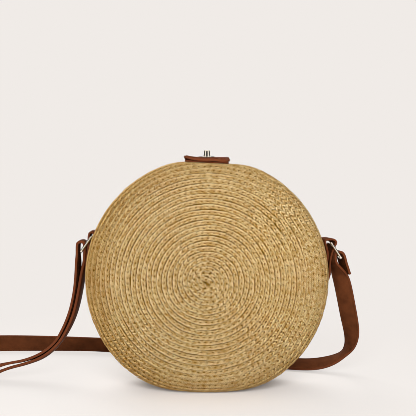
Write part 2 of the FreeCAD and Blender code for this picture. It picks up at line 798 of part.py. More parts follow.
def strap_fold(label, side, inner_leg, outer_leg):
    """The strap's fold over the ring's outer bar, with a leg on each side of it."""
    x, z = far_bar(side)
    body = doc.addObject("PartDesign::Body", f"{label}_body")
    turn_about_y(body, -side * leg_lean(side))
    place(body, x, size.side_offset, z)
    sketch = new_sketch(body, "XZ_Plane", -half_strap)
    inner = bar_radius + size.strap_clearance
    outer = inner + size.strap_leather
    corners = (
        (-side * outer, -inner_leg), (-side * inner, -inner_leg), (-side * inner, 0),
        (0, inner), (side * inner, 0), (side * inner, -outer_leg), (side * outer, -outer_leg),
        (side * outer, 0), (0, outer), (-side * outer, 0),
    )
    inside = (inner, -side)
    outside = (outer, side)
    add_outline(sketch, corners, {2: inside, 3: inside, 7: outside, 8: outside})
    pad(body, sketch, size.strap_width)
    keep(body, label)


def leg_end(side, leg, outwards):
    """Middle of the end of a leg of the strap's fold, with the gap to the free strap."""
    x, z = far_bar(side)
    lean = math.radians(side * leg_lean(side).value)
    across = (bar_radius.value + size.strap_clearance.value + size.strap_leather.value / 2) * outwards * side
    down = leg.value + size.strap_gap.value
    return (
        x.value + across * math.cos(lean) + down * math.sin(lean),
        size.side_offset.value,
        z.value + across * math.sin(lean) - down * math.cos(lean),
    )


# Strap

def round_route(route):
    """Straight runs joined by arcs as large as the runs allow: points, ways and stations along the route."""
    points = [FreeCAD.Vector(*point) for point, _ in route]
    stations = [(points[0], (points[1] - points[0]).normalize(), 0)]
    radii = []
    for number in range(1, len(points) - 1):
        before = points[number] - points[number - 1]
        after = points[number + 1] - points[number]
        tangent = BEND_RUN_SHARE * min(before.Length, after.Length)
        turn = before.getAngle(after)
        radius = tangent / math.tan(turn / 2)
        radii.append(round(radius, 1))
        inward = (after.normalize() - before.normalize()).normalize()
        centre = points[number] + inward * (radius / math.cos(turn / 2))
        start_share = tangent / (points[number] - points[number - 1]).Length
        end_share = tangent / (points[number + 1] - points[number]).Length
        steps = max(2, math.ceil(math.degrees(turn) / BEND_STEP_DEGREES))
        axis = before.cross(after)
        for step in range(steps + 1):
            share = step / steps
            spin = FreeCAD.Rotation(axis, math.degrees(turn) * share)
            spot = centre + spin.multVec(points[number] - before * tangent - centre)
            station = number - start_share + share * (start_share + end_share)
            stations.append((spot, spin.multVec(before), station))
    stations.append((points[-1], (points[-1] - points[-2]).normalize(), len(points) - 1))
    return stations, radii


def strap_section(spot, way, wide):
    side = (wide - way * wide.dot(way)).normalize() * half_strap.value
    thick = way.cross(side).normalize() * (size.strap_leather.value / 2)
    corners = [spot + side + thick, spot - side + thick, spot - side - thick, spot + side - thick]
    return Part.makePolygon(corners + corners[:1])


def strap_band(label, route):
    """A flat strap along its route, turning as its wide direction turns."""
    stations, radii = round_route(route)
    sections = []
    length = 0
    for number, (spot, way, station) in enumerate(stations):
        low = min(int(station), len(route) - 2)
        share = station - low
        wide = FreeCAD.Vector(*route[low][1]) * (1 - share) + FreeCAD.Vector(*route[low + 1][1]) * share
        sections.append(strap_section(spot, way, wide))
        if number:
            length += (spot - stations[number - 1][0]).Length
    band = doc.addObject("Part::Feature", f"{label}_band")
    band.Shape = Part.makeLoft(sections, True, True)
    band.Placement = FreeCAD.Placement()
    area = size.strap_width.value * size.strap_leather.value
    print(label, "length", round(length, 1), "volume share", round(band.Shape.Volume / (area * length), 4))
    print(label, "radii", radii)
    keep(band, label)


def strap():
    across = (0, 1, 0)
    strap_fold("strap_end_right", RIGHT, size.leg_right, size.tail_right)
    strap_fold("strap_end_left", LEFT, size.leg_left, size.leg_left)
    strap_band("strap_main", ((leg_end(RIGHT, size.leg_right, -1), across),) + STRAP_MAIN_ROUTE)
    strap_band("strap_left_upper", STRAP_UPPER_ROUTE + ((leg_end(LEFT, size.leg_left, 1), across),))
    strap_band("strap_left_lower", ((leg_end(LEFT, size.leg_left, -1), across),) + STRAP_LOWER_ROUTE)


def strap_slide():
    """A flat frame with a middle bar; the strap's end is folded round that bar."""
    body = new_body("strap_slide_body", x=-size.slide_out, y=size.side_offset, z=size.slide_height)
    sketch = new_sketch(body, "XY_Plane")
    half_bar = size.slide_bar / 2
    half_inside = half_strap + size.slide_side_room
    half_long = half_bar + size.slide_window + size.slide_rail
    half_wide = half_inside + size.slide_rail
    add_round_box(sketch, (-half_long, -half_wide), (half_long, half_wide), size.slide_corner)
    for side in (LEFT, RIGHT):
        near = side * half_bar
        far = side * (half_bar + size.slide_window)
        add_box(sketch, (near, -half_inside), (far, half_inside))
    pad(body, sketch, size.slide_metal)
    keep(body, "strap_slide")


def write_pieces():
    doc.recompute()
    faults = [thing.Name for thing in doc.Objects if {"Invalid", "Error"} & set(thing.State)]
    faults += [piece.Label for piece in pieces if piece.Shape.isNull() or not piece.Shape.isValid()]
    if faults:
        raise RuntimeError(f"these did not build: {faults}")
    os.makedirs("parts", exist_ok=True)
    for piece in pieces:
        solids = len(piece.Shape.Solids)
        print(piece.Label, "solids", solids, "volume", round(piece.Shape.Volume, 2))
        piece.Shape.exportStep(f"parts/{piece.Label}.step")


shell("back_shell", BACK)
shell("front_shell", FRONT)
lining("back_lining", BACK)
lining("front_lining", FRONT)
rim_facing("back_rim_facing", BACK)
rim_facing("front_rim_facing", FRONT)
keep(thread_loops("hinge_stitches_loops", size.hinge_thread / 2), "hinge_stitches")
lock_patch()
lock_base()
lock_washer()
lock_knob()
knob_retainer()
closure_tab()
eyelet_plate()
eyelet_backplate()
tab_root()
side_tab("side_tab_left", LEFT)
side_tab("side_tab_right", RIGHT)
metal_ring("ring_left", LEFT)
metal_ring("ring_right", RIGHT)
strap()
strap_slide()
write_pieces()
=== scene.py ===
"""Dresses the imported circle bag: braided straw shells, leather tabs and strap, thread, cloth and metal."""
import math

import bmesh
import bpy
import numpy as np
from bpy.props import FloatProperty, FloatVectorProperty, PointerProperty
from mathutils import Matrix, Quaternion, Vector


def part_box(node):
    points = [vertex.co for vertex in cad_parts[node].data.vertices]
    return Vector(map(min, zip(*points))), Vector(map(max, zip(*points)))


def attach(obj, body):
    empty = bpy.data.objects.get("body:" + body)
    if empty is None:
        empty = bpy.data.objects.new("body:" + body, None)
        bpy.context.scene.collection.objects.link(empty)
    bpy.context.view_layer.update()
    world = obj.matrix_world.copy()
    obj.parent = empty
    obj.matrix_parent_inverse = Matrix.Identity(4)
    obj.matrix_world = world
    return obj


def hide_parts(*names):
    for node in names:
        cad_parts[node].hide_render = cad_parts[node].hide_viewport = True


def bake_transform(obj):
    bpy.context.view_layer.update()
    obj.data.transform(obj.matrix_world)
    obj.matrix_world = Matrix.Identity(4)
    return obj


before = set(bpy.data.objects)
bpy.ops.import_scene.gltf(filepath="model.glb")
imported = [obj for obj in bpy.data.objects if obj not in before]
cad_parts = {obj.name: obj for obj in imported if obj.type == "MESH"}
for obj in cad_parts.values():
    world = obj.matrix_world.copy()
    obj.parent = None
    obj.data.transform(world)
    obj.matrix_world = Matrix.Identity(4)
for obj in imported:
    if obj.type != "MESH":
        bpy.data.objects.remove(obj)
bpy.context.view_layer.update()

bl_info = {
    "name": "Circle bag",
    "version": (1, 0, 0),
    "blender": (4, 5, 0),
    "location": "3D View > Sidebar > Circle bag",
    "description": "Builds the straw, leather, cloth and metal of a round straw bag on its packed frame",
    "category": "Object",
}

MM = 0.001
TINY = 1e-12
DOUBLED_WITHIN = 0.001 * MM

# Places read from the frame
SHELL_LOW, SHELL_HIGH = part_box("front_shell")
BAG_RADIUS = SHELL_HIGH.x
BAG_TOP = SHELL_HIGH.z
BAG_MIDDLE = BAG_TOP / 2
SHELL_DEPTH = -SHELL_LOW.y
STRAP_Y = sum(corner.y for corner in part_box("ring_right")) / 2

# Shape of a straw shell: a crowned face, a soft shoulder and a straight side wall
FRONT = -1
BACK = 1
HALVES = ((FRONT, "front"), (BACK, "back"))
SHOULDER_WIDTH = 26 * MM
SHOULDER_DROP = 14 * MM
CROWN = 3.6 * MM
OUTLINE_POINTS = 241
HALF_SEAM = 0.3 * MM
SHELL_WALL = 2.4 * MM
NORMAL_STEP = 0.05 * MM

# How a soft shell settles: it sags, slumps below its middle, stands flat and is pressed flat by the lock
SHELL_SAG = 1.2 * MM
SLUMP_SHARE = 0.005
FLOOR_SINK = -1.8 * MM
FLOOR_TURN = 8 * MM
LOCK_TURN = 2.6 * MM
TOP_LEAN = 0.05

# Straw spiral, from a slit in the middle to the row that closes the rim
SPIRAL_START_ANGLE = math.radians(140)
SPIRAL_SAMPLES = 4001
PATH_STEP = 0.8 * MM
RIM_ROWS = 1.4
SLIT_ANGLE = math.radians(-45)
SLIT_HALF = 3.6 * MM
SLIT_REACH = 9 * MM
SLIT_SHARPNESS = 2.5
SLIT_OPEN_SHARE = 0.16
SLIT_DIMPLE = 1.6 * MM

# Uneven rows: each wave has a strength, waves in a turn and a shift from row to row
ROW_SWAY = 0.2 * MM
SWAY_WAVES = ((1.0, 4, 0.9), (0.7, 9, -1.7))
STEADY_TURNS = 3

# How far sewn links turn, in radians, and change size, in shares, and the seeds of their random draws
BRAID_TURN = 0.06
BRAID_SPREAD = 0.06
BRAID_SEED = 7
FACING_TURN = 0.08
FACING_SEED = 21
STITCH_TURN = 0.05
STITCH_SPREAD = 0.04
STITCH_SEED = 3

# One plait, with the ends of its strands at the row's outer and inner edge: hand, rise, rounding and width
STRANDS = 3
STRAND_RISE_SHARE = 0.5
STRAND_ROUND_SHARE = 1.2
STRAND_WIDTH_SHARE = 0.86
PLAIT_EDGE_SHARES = ((-1, 1.1, 0.35, 1.0), (1, -0.8, 0.9, 0.88))
HOLE_HALF = 0.42 * MM
GROOVE_SHARE = 0.08

# The wall under the plaits
CORE_COLUMNS = 160
CORE_LEVEL_SHARES = np.concatenate([np.linspace(0.004, 0.85, 16), np.linspace(0.88, 1, 10)])
CORE_SETBACK = 0.2 * MM
CORE_SINK_SHARE = 1.1

# Straw tones: strides through the noise, shares of the tone, where the painted highlight and shade on the row
# edges fade out towards the right, and where the shoulder turns browner and gets painted shade
FIBRE_STRIDE = (31, 17, 5)
STRAND_STRIDE = 911
FIBRE_SHARE = 0.88
STRAND_TONE_SHARE = 0.38
# Painted highlight and shade on the row edges: strongest on the left, faint on the right, as if lit from the
# right
ROW_EDGE_HIGHLIGHT_AND_SHADE_FROM = -20 * MM
ROW_EDGE_HIGHLIGHT_AND_SHADE_TO = 70 * MM
ROW_EDGE_HIGHLIGHT_AND_SHADE_LEFT_SHARE = 0.55
ROW_EDGE_HIGHLIGHT_AND_SHADE_RIGHT_SHARE = 0.15
# Partly browner straw, partly painted shade on the shoulder, with its middle set right so the left is darker
HANDLED_AND_SHADE_ASIDE = 8 * MM
HANDLED_AND_SHADE_UP = 2 * MM
HANDLED_AND_SHADE_FROM = 75 * MM
HANDLED_AND_SHADE_TO = 110 * MM

# Lining, facing and hinge
LINING_COLUMNS = 192
LINING_LEVEL_SHARES = np.concatenate([np.linspace(0.005, 0.6, 10), np.linspace(0.64, 1, 18)])
LINING_INSET = 4.2 * MM
LINING_CLOTH = 0.5 * MM
LINING_GATHER = 0.7 * MM
LINING_GATHER_WAVES = (23, 9)
LINING_SETBACK = 3.4 * MM
LINING_WEAVE_SHARE = 0.6
FACING_INSET = 3.2 * MM
FACING_SETBACK = 4.3 * MM
HINGE_LOOP = 1.5 * MM
HINGE_LOOP_POINTS = 18
HINGE_COUNT = 9
THREAD_SIDES = 6
PLY_STEP = 0.17

# Leather sheets, with their edge as insets in soft widths and heights in half thicknesses
SHEET_POINTS = 144
SHEET_LOOPS = 25
SHEET_SOFT_SHARE = 0.35
SHEET_EDGE_SHARES = ((0.3, 0.82), (0.0, 0.35), (0.0, -0.35), (0.3, -0.82))
CORNER_STEPS = 12
SMALLEST_CORNER = 0.05 * MM
TAB_CORNER = 9 * MM
ROOT_CORNER = 2 * MM
TAB_SLOT = ((-3.4 * MM, -25 * MM), (3.4 * MM, -5.2 * MM))
SLOT_CORNER = 3 * MM
TAB_DROOP = 1.3 * MM
TAB_DROOP_START = -24 * MM
TAB_LEVEL_SHARE = 0.3
TAB_LIFT_LEFT = 1.7 * MM
TAB_SAG_RIGHT = 2.0 * MM
ROOT_BEND_START = 1.5 * MM
ROOT_BEND = 6 * MM
PATCH_CORNER = 4 * MM
PATCH_HOLE = 2.8 * MM

# Stitches, with places along one in shares of its length and its thickness there
STITCH_PITCH = 3.4 * MM
STITCH_LENGTH = 2.4 * MM
STITCH_WIDTH = 0.6 * MM
STITCH_INSET = 2.3 * MM
STITCH_SHARES = ((-0.5, 0.35), (-0.36, 0.85), (-0.12, 1.0), (0.12, 1.0), (0.36, 0.85), (0.5, 0.35))
STITCH_RISE_SHARE = 0.32
STITCH_BOW_SHARE = 2.6

# Leather bands, with their edge as insets in thicknesses and heights in half thicknesses
BAND_EDGE_SHARES = ((0.95, 1.0), (0.72, 0.76), (0.5, 1.0), (0.16, 0.86), (0.0, 0.4))
ROUTE_RESOLUTION = 10
WIRE_RADIUS = 1.1 * MM
SIDE_LEATHER = 1.8 * MM
# A side tab is sewn along the last fifth of its line, up to three points from its end
SEAM_PART = 5
SEAM_END = 3
# Heights between which the right tab turns askew
SKEW_LOW = 97 * MM
SKEW_HIGH = 112 * MM

# Stage, in metres and watts: lamps with place, size and power, and dark cards with place, width and height
LAMPS = (
    ("key_light", (0.0, -0.68, 0.35), 0.35, 5.75),
    ("back_light", (-0.4, 1.1, 1.1), 1.0, 16),
)
DARK_CARDS = (
    ((-1.3, 0.1, 0.5), 1.9, 1.4),
    ((1.3, 0.1, 0.5), 1.9, 1.4),
    ((0.0, -1.5, 0.35), 0.4, 0.7),
)
ROOM_LIGHT = 0.36
PIXEL_FILTER = 0.75
CAMERA_ASIDE = 0.9 * MM
FLOOR_WIDTH = 12
# How far the floor has faded into the backdrop, by the distance in metres from the middle of the bag
FLOOR_FADE = ((0.05, 0.12), (0.09, 0.5), (0.13, 0.76), (0.26, 0.8), (0.4, 1.0))

# Side tabs, from the sewn inner end over the ring's bar: places out from the bag's middle and up from
# the floor
RIGHT_TAB = [
    (0.1011, 0.0894), (0.1016, 0.097), (0.1022, 0.1055), (0.1020, 0.112), (0.1004, 0.118),
    (0.0990, 0.1236), (0.1022, 0.1240), (0.1070, 0.1243), (0.1094, 0.1216), (0.1074, 0.1182),
    (0.1056, 0.1132), (0.1046, 0.1075), (0.1052, 0.1005), (0.1057, 0.0955), (0.1050, 0.0915),
    (0.1036, 0.0886),
]
LEFT_TAB = [
    (0.1011, 0.0894), (0.1014, 0.098), (0.1007, 0.108), (0.0990, 0.116), (0.0975, 0.121),
    (0.0969, 0.1255), (0.0972, 0.1300), (0.1006, 0.1304), (0.1017, 0.126), (0.1014, 0.1215),
    (0.1022, 0.114), (0.1034, 0.106), (0.1040, 0.098), (0.1036, 0.0925), (0.1030, 0.0886),
]

# The strap's route, which is the part's own moved to follow the photograph: each point's place and
# the direction its width points
WIDE_Y = (0, 1, 0)
WIDE_TURNED = (0.1, 1, 0)
WIDE_TIPPED = (0, 0.98, -0.2)
WIDE_SKEWED = (-0.3, 1, 0)
MAIN_ROUTE = [
    ((0.1087, 0.014, 0.1035), (-0.36, 1, 0)),
    ((0.1127, 0.014, 0.0985), (-0.5, 0.86, 0)),
    ((0.1160, 0.0145, 0.0915), (-0.85, 0.53, 0)),
    ((0.1184, 0.0155, 0.083), (-0.88, 0.48, 0)),
    ((0.1214, 0.0175, 0.0695), (-0.88, 0.48, 0)),
    ((0.1250, 0.0215, 0.0535), (-0.88, 0.48, 0.02)),
    ((0.1277, 0.026, 0.042), (-0.78, 0.62, 0.05)),
    ((0.1287, 0.0305, 0.033), (-0.58, 0.8, 0.08)),
    ((0.1278, 0.036, 0.0245), (-0.32, 0.93, 0.1)),
    ((0.1235, 0.041, 0.0170), (0.02, 1, 0.06)),
    ((0.1155, 0.0445, 0.0112), (0.02, 0.96, 0.26)),
    ((0.1045, 0.0465, 0.0074), (0, 0.92, 0.4)),
    ((0.092, 0.050, 0.0053), (0, 0.9, 0.42)),
    ((0.074, 0.056, 0.0049), (0, 0.9, 0.43)),
    ((0.046, 0.068, 0.0054), (0, 0.85, 0.52)),
    ((0.002, 0.086, 0.0076), (0, 0.6, 0.8)),
    ((-0.050, 0.106, 0.0084), (0, 0.1, 1)),
    ((-0.106, 0.125, 0.0080), (0, -0.45, 0.89)),
    ((-0.160, 0.130, 0.0082), (0, -0.2, 0.98)),
    ((-0.214, 0.130, 0.0084), (0, 0, 1)),
    ((-0.264, 0.121, 0.0084), (0, 0, 1)),
    ((-0.300, 0.102, 0.0084), (0, 0, 1)),
    ((-0.316, 0.072, 0.0084), (0, 0, 1)),
    ((-0.308, 0.042, 0.0084), (0, 0.15, 1)),
    ((-0.285, 0.023, 0.0074), (0.2, 0.6, 0.75)),
    ((-0.262, 0.0155, 0.0036), (0.05, 1, 0.1)),
    ((-0.247, 0.014, 0.0018), WIDE_Y),
    ((-0.2395, 0.014, 0.0032), WIDE_Y),
    ((-0.232, 0.014, 0.0132), WIDE_Y),
    ((-0.2225, 0.014, 0.0134), WIDE_Y),
    ((-0.2155, 0.014, 0.0042), WIDE_Y),
    ((-0.206, 0.014, 0.0046), WIDE_Y),
]
UPPER_ROUTE = [
    ((-0.206, 0.014, 0.0046), WIDE_Y),
    ((-0.1965, 0.014, 0.0060), WIDE_Y),
    ((-0.186, 0.014, 0.0114), WIDE_Y),
    ((-0.174, 0.014, 0.0150), WIDE_TIPPED),
    ((-0.158, 0.014, 0.0175), WIDE_TIPPED),
    ((-0.1428, 0.014, 0.0237), WIDE_TIPPED),
    ((-0.1308, 0.014, 0.0340), (0.03, 1, -0.1)),
    ((-0.1233, 0.014, 0.0473), WIDE_TURNED),
    ((-0.1181, 0.014, 0.0600), WIDE_TURNED),
    ((-0.1148, 0.014, 0.073), WIDE_TURNED),
    ((-0.1129, 0.014, 0.085), WIDE_TURNED),
    ((-0.1118, 0.014, 0.0965), (0.13, 1, 0)),
    ((-0.1116, 0.014, 0.1058), (0.1, 1, 0)),
]
LOWER_ROUTE = [
    ((-0.1056, 0.014, 0.1052), WIDE_Y),
    ((-0.1072, 0.014, 0.0955), WIDE_TURNED),
    ((-0.1091, 0.014, 0.0845), WIDE_TURNED),
    ((-0.1113, 0.014, 0.0725), WIDE_TURNED),
    ((-0.1146, 0.014, 0.0592), WIDE_TURNED),
    ((-0.1203, 0.014, 0.0458), WIDE_TURNED),
    ((-0.1286, 0.014, 0.0323), (0.03, 1, -0.1)),
    ((-0.1414, 0.014, 0.0208), WIDE_TIPPED),
    ((-0.157, 0.014, 0.0148), WIDE_TIPPED),
    ((-0.174, 0.014, 0.0106), WIDE_TIPPED),
    ((-0.188, 0.014, 0.0044), WIDE_Y),
    ((-0.198, 0.014, 0.0014), WIDE_Y),
    ((-0.210, 0.014, 0.0014), WIDE_Y),
    ((-0.221, 0.014, 0.0022), WIDE_Y),
    ((-0.2296, 0.014, 0.0039), WIDE_Y),
    ((-0.2296, 0.014, 0.0094), WIDE_Y),
    ((-0.2245, 0.014, 0.0094), WIDE_Y),
]
# Folds over the rings' outer bars, as offsets from the bar's middle
RIGHT_FOLD = [
    ((0.0060, 0, -0.0143), WIDE_SKEWED),
    ((0.0044, 0, -0.0093), WIDE_SKEWED),
    ((0.0026, 0, -0.0040), WIDE_SKEWED),
    ((0.0012, 0, 0.0020), WIDE_SKEWED),
    ((-0.0010, 0, 0.0050), WIDE_SKEWED),
    ((-0.0058, 0, 0.0046), WIDE_SKEWED),
    ((-0.0068, 0, 0.0004), WIDE_SKEWED),
]
LEFT_FOLD_OUTER = [
    ((-0.0037, 0, -0.0030), WIDE_Y),
    ((-0.0037, 0, 0.0042), WIDE_Y),
    ((-0.0031, 0, 0.0079), WIDE_Y),
    ((-0.0006, 0, 0.0081), WIDE_Y),
]
LEFT_FOLD_INNER = [
    ((-0.0006, 0, 0.0081), WIDE_Y),
    ((0.0019, 0, 0.0083), WIDE_Y),
    ((0.0029, 0, 0.0050), WIDE_Y),
    ((0.0027, 0, -0.0030), WIDE_Y),
]


def linear(hex_colour):
    """An sRGB hex colour as linear red, green, blue and alpha."""
    shares = [int(hex_colour[i:i + 2], 16) / 255 for i in (1, 3, 5)]
    return tuple(s / 12.92 if s <= 0.04045 else ((s + 0.055) / 1.055) ** 2.4 for s in shares) + (1.0,)


def colour_property(name, description, hex_colour):
    """A colour that a user can change, with a default written as sRGB hex."""
    return FloatVectorProperty(
        name=name, description=description, subtype="COLOR", size=4, min=0, max=1, default=linear(hex_colour)
    )


def length_property(name, description, millimetres):
    """A length that a user can change, with a default written in millimetres."""
    return FloatProperty(
        name=name, description=description, unit="LENGTH", precision=4, default=millimetres * MM
    )


def angle_property(name, description, degrees):
    """An angle that a user can change, with a default written in degrees."""
    return FloatProperty(
        name=name, description=description, subtype="ANGLE", default=math.radians(degrees)
    )


class StrawSettings(bpy.types.PropertyGroup):
    """Sizes and colours of the sewn straw braid."""

    row_width: length_property("Row width", "Width of one sewn row of braid", 4.25)
    plait_length: length_property("Plait length", "Distance from one plait of a row to the next", 4.7)
    plait_rise: length_property("Plait rise", "How far a plait bulges from the shell", 0.45)
    light: colour_property("Light straw", "Straw where it catches the light", "#f4dfac")
    dark: colour_property("Dark straw", "Straw in its darker stalks", "#ba8c40")
    # Painted highlight on the outer edge of each row
    edge: colour_property("Rubbed edge", "Straw on the outer edge of each row", "#fceec8")
    # Painted shade deep between the plaits and on each row's inner edge
    gap: colour_property("Gap", "Straw deep between the plaits", "#4e3300")
    # Partly a browner straw, partly painted shade on the rounded edge
    handled: colour_property("Handled", "Tint that hands leave on the rounded edge", "#e6d5b4")


class LeatherSettings(bpy.types.PropertyGroup):
    """Sizes and colours of the leather pieces."""

    strap_width: length_property("Strap width", "Width of the strap", 16)
    strap_thickness: length_property("Strap thickness", "Thickness of the strap", 2.4)
    strap: colour_property("Strap", "Face of the strap leather", "#643820")
    strap_dark: colour_property("Strap shade", "Darker mottling of the strap leather", "#502c19")
    edge: colour_property("Edge", "Raw edge of the strap leather", "#6b351e")
    flesh: colour_property("Flesh side", "Rough back of the leather", "#2e180d")
    tab: colour_property("Tab", "Face of the tab leather", "#7c3b26")
    stitch: colour_property("Stitch", "Thread that sews the leather", "#5d3a24")


class MetalSettings(bpy.types.PropertyGroup):
    """Finish of the rings, slide and lock."""

    plating: colour_property("Plating", "Polished pale nickel plating", "#f6f0e2")
    roughness: FloatProperty(
        name="Roughness", description="Roughness of the plating", default=0.08, min=0, max=1
    )


class ClothSettings(bpy.types.PropertyGroup):
    """Colours of the lining cloth."""

    lining: colour_property("Lining", "Cotton lining", "#cdb898")
    # Painted shade between the threads of the weave
    lining_dark: colour_property("Lining shade", "Cotton between the threads", "#a48c69")


class StageSettings(bpy.types.PropertyGroup):
    """Camera, floor and backdrop."""

    camera_distance: length_property("Camera distance", "From the lens to the middle of the bag", 750)
    camera_height: length_property("Camera height", "Lens above the floor", 194)
    camera_pitch: angle_property("Camera pitch", "How far the camera looks down", 3.24)
    field_of_view: angle_property("Field of view", "Across the picture", 26.44)
    backdrop: colour_property("Backdrop", "Backdrop, and the floor far from the bag", "#f0ebe7")
    paper: colour_property("Paper", "Floor near the bag, as it is seen", "#fcf7f3")
    bounce: colour_property("Bounce", "Floor as it lights the bag", "#cac2b8")
    card: colour_property("Card", "Cards that darken the reflections", "#101010")


# Node and mesh helpers

def set_inputs(node, inputs):
    """Set a node's inputs, or link them to a socket or to the first output that a node has in use."""
    for name, value in inputs.items():
        if isinstance(value, bpy.types.Node):
            value = next(socket for socket in value.outputs if socket.enabled)
        if isinstance(value, bpy.types.NodeSocket):
            node.id_data.links.new(value, node.inputs[name])
        else:
            node.inputs[name].default_value = value


def add_node(tree, kind, inputs=None, stops=(), **settings):
    """Add a node with its settings and inputs; stops are a colour ramp's places and colours."""
    node = tree.nodes.new(kind)
    for name, value in settings.items():
        setattr(node, name, value)
    set_inputs(node, inputs or {})
    for place, (position, colour) in enumerate(stops):
        ramp = node.color_ramp.elements
        element = ramp[place] if place < len(ramp) else ramp.new(position)
        element.position = position
        element.color = colour
    return node


def seen_share(tree):
    """1 where the camera sees the surface, itself or in a reflection or glass, and 0 for its light."""
    path = add_node(tree, "ShaderNodeLightPath").outputs
    reflected = add_node(
        tree, "ShaderNodeMath", {0: path["Is Glossy Ray"], 1: path["Is Transmission Ray"]}, operation="ADD"
    )
    return add_node(
        tree, "ShaderNodeMath", {0: path["Is Camera Ray"], 1: reflected}, operation="ADD", use_clamp=True
    )


def new_material(name):
    """A node material, its tree and its shader."""
    material = bpy.data.materials.new(name)
    material.use_nodes = True
    return material, material.node_tree, material.node_tree.nodes["Principled BSDF"]


def made(maker):
    """The material that a function is named for, made the first time it is asked for."""
    return bpy.data.materials.get(maker.__name__) or maker()


def add_object(name, data):
    """Put a mesh, a curve, a lamp or a camera in the scene as an object at the origin."""
    obj = bpy.data.objects.new(name, data)
    bpy.context.scene.collection.objects.link(obj)
    return obj


def discard(obj):
    """Remove a helper object that is not a piece of the bag."""
    bpy.data.objects.remove(obj)


def full_turn(count):
    """Angles evenly spaced round a circle."""
    return np.linspace(0, 2 * np.pi, count, endpoint=False)


def unit(vectors):
    """The vectors, each made one long; the tiny term keeps a zero vector at zero."""
    return vectors / (np.linalg.norm(vectors, axis=-1, keepdims=True) + TINY)


def turn_faces_outward(mesh, merged=True):
    """Make every face of a closed mesh point outward, with its doubled points merged or left."""
    work = bmesh.new()
    work.from_mesh(mesh)
    if merged:
        bmesh.ops.remove_doubles(work, verts=work.verts, dist=DOUBLED_WITHIN)
    bmesh.ops.recalc_face_normals(work, faces=work.faces)
    work.to_mesh(mesh)
    work.free()


def loft(name, loops, materials, ring=False, column_slots=None, edge_rows=(), weave=None):
    """A closed skin over loops with equally many points.

    column_slots gives the material number of some columns; faces in edge_rows and the ends of a skin with
    column_slots take the second material.
    weave gives the map's step from column to column and its place at each row."""
    column_slots = column_slots or {}
    loops = np.asarray(loops, float)
    rows, columns = loops.shape[:2]
    faces = []
    slots = []
    places = []
    for row in range(rows if ring else rows - 1):
        above = (row + 1) % rows
        for column in range(columns):
            corners = ((row, column), (row, column + 1), (above, column + 1), (above, column))
            faces.append([r * columns + c % columns for r, c in corners])
            slots.append(1 if row in edge_rows else column_slots.get(column, 0))
            places += corners
    if not ring:
        faces.append(list(range(columns))[::-1])
        faces.append([(rows - 1) * columns + column for column in range(columns)])
        slots += [1, 1] if column_slots else [0, 0]
        places += [(0, 0)] * columns + [(rows - 1, 0)] * columns
    mesh = bpy.data.meshes.new(name)
    mesh.from_pydata(loops.reshape(-1, 3).tolist(), [], faces)
    mesh.polygons.foreach_set("material_index", slots)
    mesh.polygons.foreach_set("use_smooth", [True] * len(faces))
    if weave:
        column_step, row_places = weave
        layer = mesh.uv_layers.new(name="strand")
        layer.uv.foreach_set("vector", [v for r, c in places for v in (c * column_step, row_places[r])])
    turn_faces_outward(mesh)
    for material in materials:
        mesh.materials.append(material)
    return add_object(name, mesh)


def line_mesh(name, lines, outward):
    """A mesh of open or closed lines whose points carry the outward direction of the surface they lie on."""
    points = []
    edges = []
    for line, closed in lines:
        first = len(points)
        points += [tuple(point) for point in line]
        edges += [(first + i, first + i + 1) for i in range(len(line) - 1)]
        if closed:
            edges.append((len(points) - 1, first))
    mesh = bpy.data.meshes.new(name)
    mesh.from_pydata(points, edges, [])
    attribute = mesh.attributes.new("outward", "FLOAT_VECTOR", "POINT")
    attribute.data.foreach_set("vector", np.asarray(outward, np.float32).ravel())
    return add_object(name, mesh)


def settle(obj):
    """Make the evaluated shape the object's own plain mesh and remove its modifiers."""
    depsgraph = bpy.context.evaluated_depsgraph_get()
    mesh = bpy.data.meshes.new_from_object(
        obj.evaluated_get(depsgraph), preserve_all_data_layers=True, depsgraph=depsgraph
    )
    obj.modifiers.clear()
    obj.data = mesh


